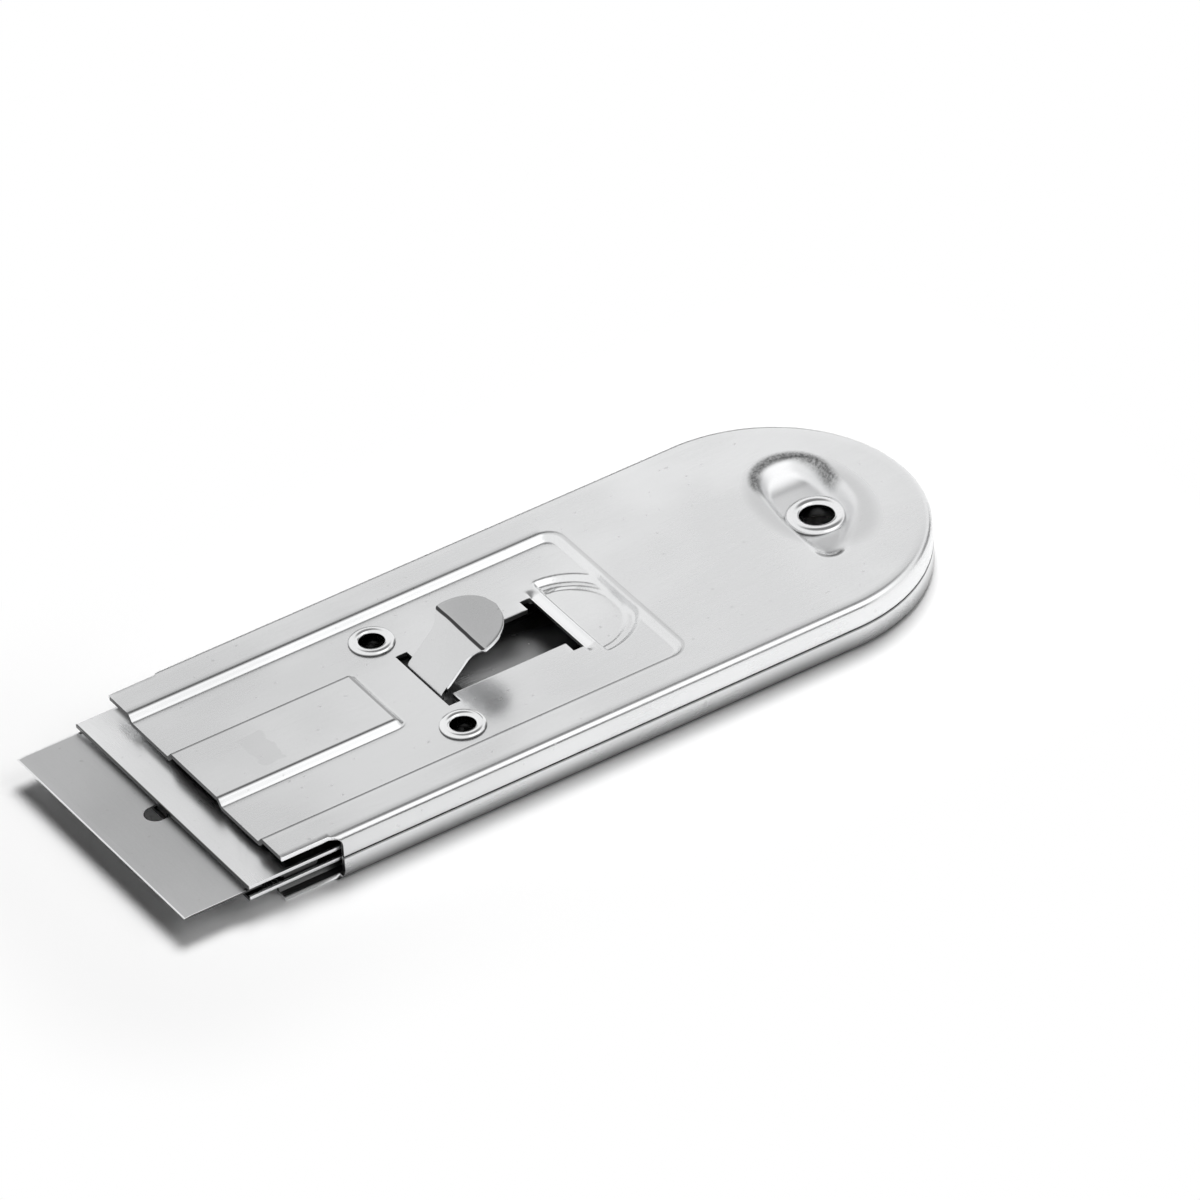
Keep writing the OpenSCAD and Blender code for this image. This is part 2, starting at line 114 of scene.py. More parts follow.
@dataclass(frozen=True)
class Sock:
    """A shader socket that can be used in Python expressions."""

    net: "Net"
    out: bpy.types.NodeSocket

    def _math(self, kind: str, other: "Sock | float", flip: bool = False) -> "Sock":
        """Join this socket and another value through one Math node."""
        pair = (other, self) if flip else (self, other)
        return self.net.node("ShaderNodeMath", {"operation": kind}, {0: pair[0], 1: pair[1]})

    def __add__(self, other: "Sock | float") -> "Sock":
        """Sum."""
        return self._math("ADD", other)

    def __radd__(self, other: float) -> "Sock":
        """Sum with a number on the left."""
        return self._math("ADD", other)

    def __sub__(self, other: "Sock | float") -> "Sock":
        """Difference."""
        return self._math("SUBTRACT", other)

    def __rsub__(self, other: float) -> "Sock":
        """Difference with a number on the left."""
        return self._math("SUBTRACT", other, flip=True)

    def __mul__(self, other: "Sock | float") -> "Sock":
        """Product."""
        return self._math("MULTIPLY", other)

    def __rmul__(self, other: float) -> "Sock":
        """Product with a number on the left."""
        return self._math("MULTIPLY", other)

    def __truediv__(self, other: "Sock | float") -> "Sock":
        """Quotient."""
        return self._math("DIVIDE", other)

    def __rtruediv__(self, other: float) -> "Sock":
        """Quotient with a number on the left."""
        return self._math("DIVIDE", other, flip=True)

    def at_most(self, other: "Sock | float") -> "Sock":
        """The smaller of the two."""
        return self._math("MINIMUM", other)

    def at_least(self, other: "Sock | float") -> "Sock":
        """The larger of the two."""
        return self._math("MAXIMUM", other)

    def size(self) -> "Sock":
        """The value without its sign."""
        return self._math("ABSOLUTE", 0.0)

    def root(self) -> "Sock":
        """Square root."""
        return self._math("SQRT", 0.0)

    def eased(self, low: float, high: float) -> "Sock":
        """Rise smoothly from 0 at low to 1 at high."""
        return self.net.node(
            "ShaderNodeMapRange",
            {"interpolation_type": "SMOOTHSTEP"},
            {"Value": self, "From Min": low, "From Max": high, "To Min": 0.0, "To Max": 1.0},
        )


class Net:
    """A node tree that is filled through sockets."""

    def __init__(self, tree: bpy.types.NodeTree) -> None:
        """Empty a tree and start on it."""
        self.tree = tree
        tree.nodes.clear()

    def node(
        self,
        kind: str,
        settings: dict[str, object] | None = None,
        inputs: dict[str | int, object] | None = None,
        out: str | int = 0,
    ) -> Sock:
        """Add a node.

        Args:
            kind: Blender's type name of the node.
            settings: Properties that are set before the sockets.
            inputs: Values or sockets for the inputs, by name or number.
            out: Name or number of the output that is handed back.

        Returns:
            The output socket, wrapped.
        """
        made = self.tree.nodes.new(kind)
        for name, value in (settings or {}).items():
            setattr(made, name, value)
        for name, value in (inputs or {}).items():
            if isinstance(value, Sock):
                self.tree.links.new(value.out, made.inputs[name])
            else:
                made.inputs[name].default_value = value
        return Sock(self, made.outputs[out])

    def mix(self, share: Sock | float, low: object, high: object) -> Sock:
        """A colour between two colours."""
        return self.node("ShaderNodeMix", {"data_type": "RGBA"}, {0: share, 6: low, 7: high}, 2)

    def close(self, kind: str, shader: Sock) -> None:
        """Join a shader to a new output node of this kind."""
        self.tree.links.new(shader.out, self.tree.nodes.new(kind).inputs["Surface"])


class Place:
    """A point on a piece in millimetres, as one material's tree reads it."""

    def __init__(self, net: Net) -> None:
        """Read the piece's own coordinates.

        Args:
            net: Tree of the material.
        """
        coords = net.node("ShaderNodeTexCoord", out="Object")
        scale = {0: coords, "Scale": PER_MM}
        self.net = net
        self.all = net.node("ShaderNodeVectorMath", {"operation": "SCALE"}, scale)
        self.x, self.y, self.z = (
            net.node("ShaderNodeSeparateXYZ", None, {0: self.all}, name) for name in "XYZ"
        )
        self.side = self.y.size()

    def noise(
        self, scale: float, detail: float = 2.0, rough: float = 0.5, by: Triple | None = None
    ) -> Sock:
        """Noise about 0.5.

        Args:
            scale: Number of waves in a millimetre.
            detail: Number of finer layers.
            rough: Strength of the finer layers.
            by: Factors that squeeze it along each axis, or nothing.

        Returns:
            The noise.
        """
        at = self.all
        if by is not None:
            at = self.net.node("ShaderNodeVectorMath", {"operation": "MULTIPLY"}, {0: at, 1: by})
        return self.net.node(
            "ShaderNodeTexNoise",
            {"noise_dimensions": "3D"},
            {"Vector": at, "Scale": scale, "Detail": detail, "Roughness": rough},
        )


def squares(x: Sock, y: Sock) -> Sock:
    """Square of the distance that two sockets make."""
    return x * x + y * y


def new_material(name: str) -> tuple[Skin, Net]:
    """Start an empty material of this name.

    Args:
        name: Name of the material.

    Returns:
        The material and its empty tree.
    """
    skin = bpy.data.materials.new(name)
    skin.use_nodes = True
    return skin, Net(skin.node_tree)


def grey(value: float) -> tuple[float, float, float, float]:
    """A neutral colour with a trace of blue, as nickel and zinc have."""
    return (value * 0.995, value, value * 1.006, 1.0)


# Colours that stand in for light: painted highlight, also ground metal on the blade, and painted
# shade.
POLISH_AND_HIGHLIGHT = grey(0.97)
PAINTED_SHADE_BLACK = grey(0.02)


class Grain(Enum):
    """Way that the rolling marks of a sheet run."""

    ALONG = (0.35, 9.0, 9.0)
    ACROSS = (9.0, 0.35, 9.0)
    EVEN = (3.0, 3.0, 3.0)


@dataclass(frozen=True)
class SteelFinish:
    """Plated or bare steel with rolling marks, faint clouding and fine specks.

    Attributes:
        name: Name of the material.
        light: Grey of unclouded metal.
        dark: Grey of the clouded places.
        roughness: Roughness of unclouded metal.
        grain: Way that the rolling marks run.
        grain_depth: Strength of the rolling marks' relief.
        speck: Share of darkening in small specks.
    """

    name: str
    light: float
    dark: float
    roughness: float
    grain: Grain
    grain_depth: float = 0.06
    speck: float = 0.5

    def dark_patch(self, at: Place) -> Sock | float:
        """Darkening of a patch, added to the clouding."""
        return 0.0

    def painted_shade(self, at: Place) -> Sock | float:
        """Share of painted shade, mixed towards black, from 0 to 1."""
        return 0.0

    def polish_and_highlight(self, at: Place) -> Sock | float:
        """Share of freshly ground metal and of painted highlight, from 0 to 1."""
        return 0.0

    def metal_share(self, at: Place) -> Sock | float:
        """How metallic the surface is."""
        return 1.0

    def drawn(self, at: Place) -> Sock | float:
        """Roughness added where the press has stretched the sheet."""
        return 0.0

    def build(self) -> Skin:
        """Make the material.

        Returns:
            A material that reads the object's own coordinates.
        """
        skin, net = new_material(self.name)
        at = Place(net)
        cloud = at.noise(0.05).eased(0.3, 0.7)
        marks = at.noise(1.0, 3.0, 0.6, self.grain.value)
        sand = at.noise(5.0, 2.0, 0.6)
        specks = at.noise(1.1, 1.0, 0.4).eased(0.735, 0.80)
        shade = cloud * 0.7 + (marks - 0.5) * 0.7 + (sand - 0.5) * 0.9 + specks * self.speck * 3.0
        shade = (shade + self.dark_patch(at)).at_least(0.0)
        colour = net.mix(shade, grey(self.light), grey(self.dark))
        # Mix in painted highlight, with ground metal on the blade, then painted shade.
        colour = net.mix(self.polish_and_highlight(at), colour, POLISH_AND_HIGHLIGHT)
        colour = net.mix(self.painted_shade(at), colour, PAINTED_SHADE_BLACK)
        rough = cloud * 0.05 + (marks - 0.5) * 0.05 + specks * 0.1 + self.roughness
        rough = (rough + self.drawn(at)).at_most(0.95)
        relief = {
            "Height": marks * 0.5 + sand * 0.5,
            "Strength": self.grain_depth,
            "Distance": 0.01 * MM,
        }
        steel = {
            "Base Color": colour,
            "Roughness": rough,
            "Metallic": self.metal_share(at),
            "Normal": net.node("ShaderNodeBump", None, relief),
        }
        shader = net.node("ShaderNodeBsdfPrincipled", None, steel)
        net.close("ShaderNodeOutputMaterial", shader)
        return skin


@dataclass(frozen=True)
class ShellFinish(SteelFinish):
    """Plating of the top shell, with painted shade along its pressed edges and at the dimple, a
    painted highlight on the strip and a darker patch on the channel.

    Attributes:
        patch: Middle of the darker patch on the channel.
        patch_half: Half of the patch along and across the tool.
        panel: Rear end, half width and corner radius of the panel.
        channel: The same of the raised channel.
        far_round: Middle and radius of the dimple's far end.
        near_round: Middle and radius of its near end.
        dimple: Middle of the dimple and reach of its drawn metal.
        strip: Front, rear and half width of the strip behind the window.
    """

    patch: Pair = (-34.9, -0.4)
    patch_half: Pair = (1.6, 3.1)
    panel: Triple = (16.5, 15.2, 2.4)
    channel: Triple = (-18.0, 6.3, 1.2)
    far_round: Triple = (45.0, 6.0, 4.45)
    near_round: Triple = (40.8, -8.8, 1.6)
    dimple: Triple = (44.4, 0.6, 8.5)
    strip: Triple = (7.3, 8.8, 6.2)

    def dark_patch(self, at: Place) -> Sock | float:
        """Darken a patch on the channel.

        Args:
            at: Point on the piece.

        Returns:
            Darkening added to the clouding.
        """
        wobble = (at.noise(0.6) - 0.5) * 1.4
        patch: Sock | float = 0.9
        for place, middle, half in zip((at.x, at.y), self.patch, self.patch_half):
            away = (place - middle + wobble).size()
            patch = (1.0 - away.eased(half - 0.2, half + 0.2)) * patch
        return patch

    def _edge_line(self, at: Place, form: Triple, reach: float) -> Sock:
        """Thin line of painted shade inside a pressed form.

        Args:
            at: Point on the shell.
            form: Rear end, half width and corner radius of the form.
            reach: Distance of the line from the form's outline.

        Returns:
            Share of the line, from 0 to 1.
        """
        end, half, corner = form
        x, y = at.x - (end - corner), at.side - (half - corner)
        inner = x.at_least(y).at_most(0.0)
        outer = squares(x.at_least(0.0), y.at_least(0.0)).root()
        return 1.0 - (outer + inner - (corner - reach)).size().eased(0.12, 0.34)

    def _far_brow(self, at: Place) -> Sock:
        """Grainy dark brow of painted reflection round the dimple's far end.

        Args:
            at: Point on the piece.

        Returns:
            Share of the brow, from 0 to 1.
        """
        x0, y0, r = self.far_round
        y = at.y - y0
        x = at.x - x0 - y.at_most(0.0) * 0.1
        away = (squares(x, y.at_least(0.0)).root() - r).size()
        grain = at.noise(2.6, 2.0, 0.7).eased(0.25, 0.75) * 0.4 + 0.45
        return (1.0 - away.eased(0.2, 1.1)) * (y + x * 0.35).eased(-3.6, -0.4) * grain

    def _near_bend(self, at: Place) -> Sock:
        """Thin line of painted shade in the bend at the dimple's near end.

        Args:
            at: Point on the piece.

        Returns:
            Share of the line, from 0 to 1.
        """
        x0, y0, r = self.near_round
        x, y = at.x - x0, at.y - y0
        line = 1.0 - (squares(x, y).root() - r).size().eased(0.12, 0.4)
        return line * (x * -0.5 + y * -0.87).eased(0.1, 0.9) * 0.5

    def painted_shade(self, at: Place) -> Sock | float:
        """Paint shade along the upper bends of the panel and the channel, darker towards the front,
        and paint reflection and shade at the dimple's two ends.

        Args:
            at: Point on the piece.

        Returns:
            Share of painted shade, from 0 to 1.
        """
        # Painted shade: the front of the shell darker than its rear.
        front = 1.0 - at.x.eased(-40.0, 30.0)
        rear = at.x.eased(self.panel[0] - 2.4, self.panel[0] - 0.4)
        lines = self._edge_line(at, self.panel, 0.05) * (1.0 - rear * 0.5)
        lines = lines.at_least(self._edge_line(at, self.channel, 1.05))
        lines = lines * at.z.eased(5.15, 5.3) * (front * 0.2 + 0.42)
        dimple = self._far_brow(at).at_least(self._near_bend(at))
        return lines.at_least(dimple).at_least(front * 0.15)

    def polish_and_highlight(self, at: Place) -> Sock | float:
        """Paint a highlight on the strip behind the window, where its bend catches the light.

        Args:
            at: Point on the piece.

        Returns:
            Share of painted highlight, from 0 to 1.
        """
        start, end, half = self.strip
        across = 1.0 - at.side.eased(half - 0.3, half + 0.1)
        return at.x.eased(start - 0.05, start) * (1.0 - at.x.eased(end - 0.1, end)) * across

    def drawn(self, at: Place) -> Sock | float:
        """Roughen the dimple.

        Args:
            at: Point on the piece.

        Returns:
            Roughness to add.
        """
        x0, y0, reach = self.dimple
        away = squares((at.x - x0) * 1.5, at.y - y0).root()
        return (1.0 - away.eased(reach, reach + 3.0)) * 0.2


@dataclass(frozen=True)
class ShadedEdgeFinish(SteelFinish):
    """Cut edge darkened as painted shade, with a painted highlight where the cut-away meets the
    side bend.
    """

    side: float = 19.3
    rear: float = -36.0
    low: float = 5.2

    def polish_and_highlight(self, at: Place) -> Sock | float:
        """Paint a highlight on the long sides of the cut-away.

        Args:
            at: Point on the piece.

        Returns:
            Share of painted highlight, from 0 to 1.
        """
        outer = at.side.eased(self.side, self.side + 0.1)
        high = at.z.eased(self.low, self.low + 0.2)
        return outer * high * (1.0 - at.x.eased(self.rear - 1.0, self.rear))


@dataclass(frozen=True)
class InsideFinish(SteelFinish):
    """Plating of the bottom shell, less metallic inside, with painted shade inside but for a
    lighter spot.

    Attributes:
        skin: Height up to which a point belongs to the outer face.
        half: Half width of the space inside.
        round_x: Middle of the round end.
        lit_spot: Middle of the spot under the window that is left lighter, as if lit.
        lit_spot_half: Half of that spot along and across the tool.
    """

    skin: float = 0.45
    half: float = 19.7
    round_x: float = 37.0
    lit_spot: Pair = (2.5, 2.4)
    lit_spot_half: Pair = (8.0, 3.8)

    def _spread(self, at: Place) -> Sock:
        """Square of the distance from the middle line, and from its end in the round part."""
        return squares((at.x - self.round_x).at_least(0.0), at.y)

    def _inside(self, at: Place) -> Sock:
        """Share of the sheet's inside.

        Args:
            at: Point on the piece.

        Returns:
            The share, from 0 to 1.
        """
        above = at.z.eased(self.skin - 0.1, self.skin + 0.1)
        edge = self._spread(at).eased((self.half - 0.2) ** 2, (self.half + 0.1) ** 2)
        return above * (1.0 - edge)

    def metal_share(self, at: Place) -> Sock | float:
        """Lower the metal's share on the inside of the sheet."""
        return 1.0 - self._inside(at) * 0.35

    def painted_shade(self, at: Place) -> Sock | float:
        """Paint shade on the inside, in the bend round the foot, on the skirt darker towards the
        bottom, and in the seam.

        Args:
            at: Point on the piece.

        Returns:
            Share of painted shade, from 0 to 1.
        """
        outer = self._spread(at).eased(self.half * self.half, (self.half + 0.2) ** 2)
        # Painted shade: a dark line in the foot's bend, a skirt darker towards the bottom and a
        # line in the seam.
        foot = at.z.eased(0.02, 0.12) * (1.0 - at.z.eased(0.35, 0.7)) * 0.95
        skirt = (1.0 - at.z.eased(0.3, 3.1)) * 0.6
        seam = at.z.eased(2.9, 3.08) * 0.68
        # Painted shade over the inside, left lighter on a spot under the window as if lit there.
        spot = squares(*(
            (place - middle) / half
            for place, middle, half in zip((at.x, at.y), self.lit_spot, self.lit_spot_half)
        ))
        inside_shade = 0.9 - (1.0 - spot.eased(0.2, 1.7)) * 0.84
        return (foot.at_least(skirt).at_least(seam) * outer).at_least(self._inside(at) * inside_shade)


@dataclass(frozen=True)
class FoldFinish(SteelFinish):
    """Bare steel of the folded holder, with painted shade in its fold, along its lip and under the
    shell.
    """

    low_z: float = 2.9
    within: float = 19.3
    front_x: float = -48.9
    shell_x: float = -44.1

    def painted_shade(self, at: Place) -> Sock | float:
        """Paint shade on the fold's lower half, a shadow line on the lip's cut edge and shade on
        all that stays under the shell.

        Args:
            at: Point on the piece.

        Returns:
            Share of painted shade, from 0 to 1.
        """
        low = self.low_z
        deep = at.z.eased(low - 0.25, low - 0.2) * (1.0 - at.z.eased(low, low + 0.3))
        inside = 1.0 - at.side.eased(self.within - 0.2, self.within)
        lip = 1.0 - at.x.eased(self.front_x + 0.08, self.front_x + 0.22)
        under = at.x.eased(self.shell_x + 0.1, self.shell_x + 0.9)
        return (deep * inside * 0.9).at_least(lip * 0.92).at_least(under * inside * 0.85)


@dataclass(frozen=True)
class BladeFinish(SteelFinish):
    """Hardened blade steel, with a ground line along the cutting edge painted brighter as a
    highlight, a painted highlight along the ends and painted shade on them.
    """

    edge_x: float = -57.5
    lip_x: float = -48.9
    half: float = 19.05
    band: float = 0.24

    def _bare(self, at: Place) -> Sock:
        """Share of the blade that stands out of the holder, from 0 to 1."""
        return 1.0 - at.x.eased(self.lip_x - 0.1, self.lip_x)

    def polish_and_highlight(self, at: Place) -> Sock | float:
        """Brighten the ground line along the cutting edge, partly as painted highlight, and paint a
        highlight along the ends.

        Args:
            at: Point on the piece.

        Returns:
            Share of ground metal and painted highlight, from 0 to 1.
        """
        front = 1.0 - (at.x - self.edge_x).eased(self.band * 0.7, self.band)
        ends = at.side.eased(self.half - self.band * 0.8, self.half - self.band * 0.5)
        return front.at_least(ends * self._bare(at) * 0.8)

    def painted_shade(self, at: Place) -> Sock | float:
        """Paint shade on the ends' cut faces, and on all of the end inside the holder.

        Args:
            at: Point on the piece.

        Returns:
            Share of painted shade, from 0 to 1.
        """
        cut = at.side.eased(self.half - 0.012, self.half - 0.004)
        held = at.side.eased(self.half - 0.6, self.half - 0.4) * (1.0 - self._bare(at))
        return cut.at_least(held) * 0.92


@dataclass(frozen=True)
class SpineFinish(SteelFinish):
    """Steel of the blade's folded spine, dark at its ends."""

    half: float = 19.05

    def painted_shade(self, at: Place) -> Sock | float:
        """Darken both ends."""
        return at.side.eased(self.half - 0.5, self.half - 0.3) * 0.95


@dataclass(frozen=True)
class CreaseFinish(SteelFinish):
    """Spring steel, with painted shade on the thumb pad and a painted shade line in the crease that
    folds it.
    """

    crease: Pair = (-6.32, 11.0)
    width: float = 0.24

    def painted_shade(self, at: Place) -> Sock | float:
        """Paint shade on the pad and a line of it across its crease.

        Args:
            at: Point on the piece.

        Returns:
            Share of painted shade, from 0 to 1.
        """
        along, height = self.crease
        wander = (at.noise(0.25, 1.0) - 0.5) * 0.25
        line = 1.0 - (at.x - along + wander).size().eased(self.width * 0.55, self.width)
        pad = at.x.eased(along - 0.1, along)
        high = at.z.eased(height - 0.42, height - 0.36)
        return (line * 0.95).at_least(pad * 0.29) * high


@dataclass(frozen=True)
class EyeletFinish(SteelFinish):
    """Bright plating of an eyelet, with black painted shade inside its bore and at the foot of its
    lip.
    """

    centre: Pair = (0.0, 0.0)
    bore_r: float = 1.55
    rim_r: float = 2.9
    seat: float = 5.6

    def painted_shade(self, at: Place) -> Sock | float:
        """Paint shade on the bore below its mouth and on the foot of the lip.

        Args:
            at: Point on the piece.

        Returns:
            Share of painted shade, from 0 to 1.
        """
        spread = squares(at.x - self.centre[0], at.side - self.centre[1])
        near = 1.0 - spread.eased((self.bore_r + 0.02) ** 2, (self.bore_r + 0.16) ** 2)
        bore = near * (1.0 - at.z.eased(self.seat + 0.05, self.seat + 0.3)) * 0.97
        rim = spread.eased((self.rim_r - 0.14) ** 2, (self.rim_r - 0.06) ** 2)
        foot = rim * (1.0 - at.z.eased(self.seat + 0.12, self.seat + 0.3)) * 0.85
        return bore.at_least(foot)


# ---------------------------------------------------------------- meshes

class Carrier(Enum):
    """Rigid bodies of the tool."""

    HOUSING = "housing"
    CARRIAGE = "carriage"
    THUMB = "thumb"


def hand_over(piece: Piece, carrier: Carrier, nodes: list[str]) -> None:
    """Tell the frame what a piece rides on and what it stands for.

    Args:
        piece: Finished object at the origin.
        carrier: Body that it moves with.
        nodes: Nodes that it stands for.
    """
    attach(piece, carrier.value)
    if nodes:
        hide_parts(*nodes)
    LOG.info("%s: %d faces on %s", piece.name, len(piece.data.polygons), carrier.value)


def new_object(name: str, data: bpy.types.ID) -> Piece:
    """Put a mesh, lamp or camera into the scene at the origin.

    Args:
        name: Name of the new object.
        data: Its mesh, lamp or camera.

    Returns:
        The new object.
    """
    made = bpy.data.objects.new(name, data)
    bpy.context.scene.collection.objects.link(made)
    return made


# Angles in degrees past which an edge stays sharp, on folded and on turned pieces.
FOLDED_SHARP = 32.0
TURNED_SHARP = 38.0


def settle(made: Piece, sharp_deg: float, material: Skin | None = None) -> None:
    """Turn an object's modifiers into plain mesh, then shade it.

    Args:
        made: Object with live modifiers.
        sharp_deg: Angle past which an edge stays sharp.
        material: Material of all faces, or nothing where the mesh has its own.
    """
    depsgraph = bpy.context.evaluated_depsgraph_get()
    plain = bpy.data.meshes.new_from_object(made.evaluated_get(depsgraph))
    made.modifiers.clear()
    made.data = plain
    plain.name = made.name
    if material is not None:
        plain.materials.clear()
        plain.materials.append(material)
        plain.polygons.foreach_set("material_index", [0] * len(plain.polygons))
    plain.polygons.foreach_set("use_smooth", [True] * len(plain.polygons))
    plain.set_sharp_from_angle(angle=math.radians(sharp_deg))
    plain.update()


def break_edges(made: Piece, width_mm: float) -> None:
    """Round an object's sharp edges by this width.

    Args:
        made: Object whose edges are sharp.
        width_mm: Width of the broken edge.
    """
    edge = made.modifiers.new("edge", "BEVEL")
    edge.width = width_mm * MM
    edge.segments = 2
    edge.limit_method = "ANGLE"
    edge.angle_limit = math.radians(55)
    edge.use_clamp_overlap = True


def thicken(
    made: Piece, thickness_mm: float, edge_mm: float, skins: tuple[Skin, ...] = ()
) -> None:
    """Give a surface the thickness of its sheet and break its cut edges.

    Args:
        made: Object with an open surface that faces outwards.
        thickness_mm: Thickness of the sheet, which grows inwards.
        edge_mm: Width of the broken edge.
        skins: Materials of the face and of the cut edge, where they differ.
    """
    wall = made.modifiers.new("wall", "SOLIDIFY")
    for skin in skins:
        made.data.materials.append(skin)
    if skins:
        wall.material_offset_rim = 1
    wall.thickness = thickness_mm * MM
    wall.offset = -1.0
    wall.use_even_offset = True
    wall.use_quality_normals = True
    break_edges(made, edge_mm)


def merged_copy(node: str, name: str) -> Piece:
    """Copy a node's mesh and join its loose triangles.

    Args:
        node: Node of the frame.
        name: Name of the new object.

    Returns:
        The new object.
    """
    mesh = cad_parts[node].data.copy()
    shape = bmesh.new()
    shape.from_mesh(mesh)
    bmesh.ops.remove_doubles(shape, verts=shape.verts, dist=1e-6)
    bmesh.ops.dissolve_limit(
        shape, angle_limit=math.radians(0.4), verts=shape.verts, edges=shape.edges
    )
    shape.to_mesh(mesh)
    shape.free()
    return new_object(name, mesh)


def face_outwards(made: Piece, upwards: bool = False) -> None:
    """Turn a mesh's faces to its outside.

    Args:
        made: Object whose faces may point either way.
        upwards: Whether it is an open sheet, whose highest face then looks up.
    """
    shape = bmesh.new()
    shape.from_mesh(made.data)
    bmesh.ops.recalc_face_normals(shape, faces=shape.faces)
    if upwards:
        top = max(shape.faces, key=lambda f: f.calc_center_median().z)
        if top.normal.z < 0.0:
            bmesh.ops.reverse_faces(shape, faces=shape.faces)
    shape.to_mesh(made.data)
    shape.free()


class SheetMesh:
    """Gathers shared points and faces of one open sheet."""

    def __init__(self) -> None:
        """Start with nothing."""
        self.points: list[Triple] = []
        self.faces: list[tuple[int, ...]] = []
        self.index: dict[tuple[int, int, int], int] = {}

    def point(self, x: float, y: float, z: float) -> int:
        """Number of a point, shared with any other at the same place.

        Args:
            x: Place along the tool.
            y: Place across it.
            z: Height.

        Returns:
            Number of the point.
        """
        key = (round(x * 2e4), round(y * 2e4), round(z * 2e4))
        if key not in self.index:
            self.index[key] = len(self.points)
            self.points.append((x * MM, y * MM, z * MM))
        return self.index[key]

    def face(self, *corners: int) -> None:
        """Add a face, dropping corners that fall together.

        Args:
            corners: Numbers of its points, in order.
        """
        kept = [c for i, c in enumerate(corners) if c != corners[i - 1]]
        if len(kept) > 2:
            self.faces.append(tuple(kept))

    def build(self, name: str) -> Piece:
        """Make an object of what was gathered.

        Args:
            name: Name of the new object.

        Returns:
            The new object.
        """
        mesh = bpy.data.meshes.new(name)
        mesh.from_pydata(self.points, [], self.faces)
        mesh.validate()
        mesh.update()
        return new_object(name, mesh)


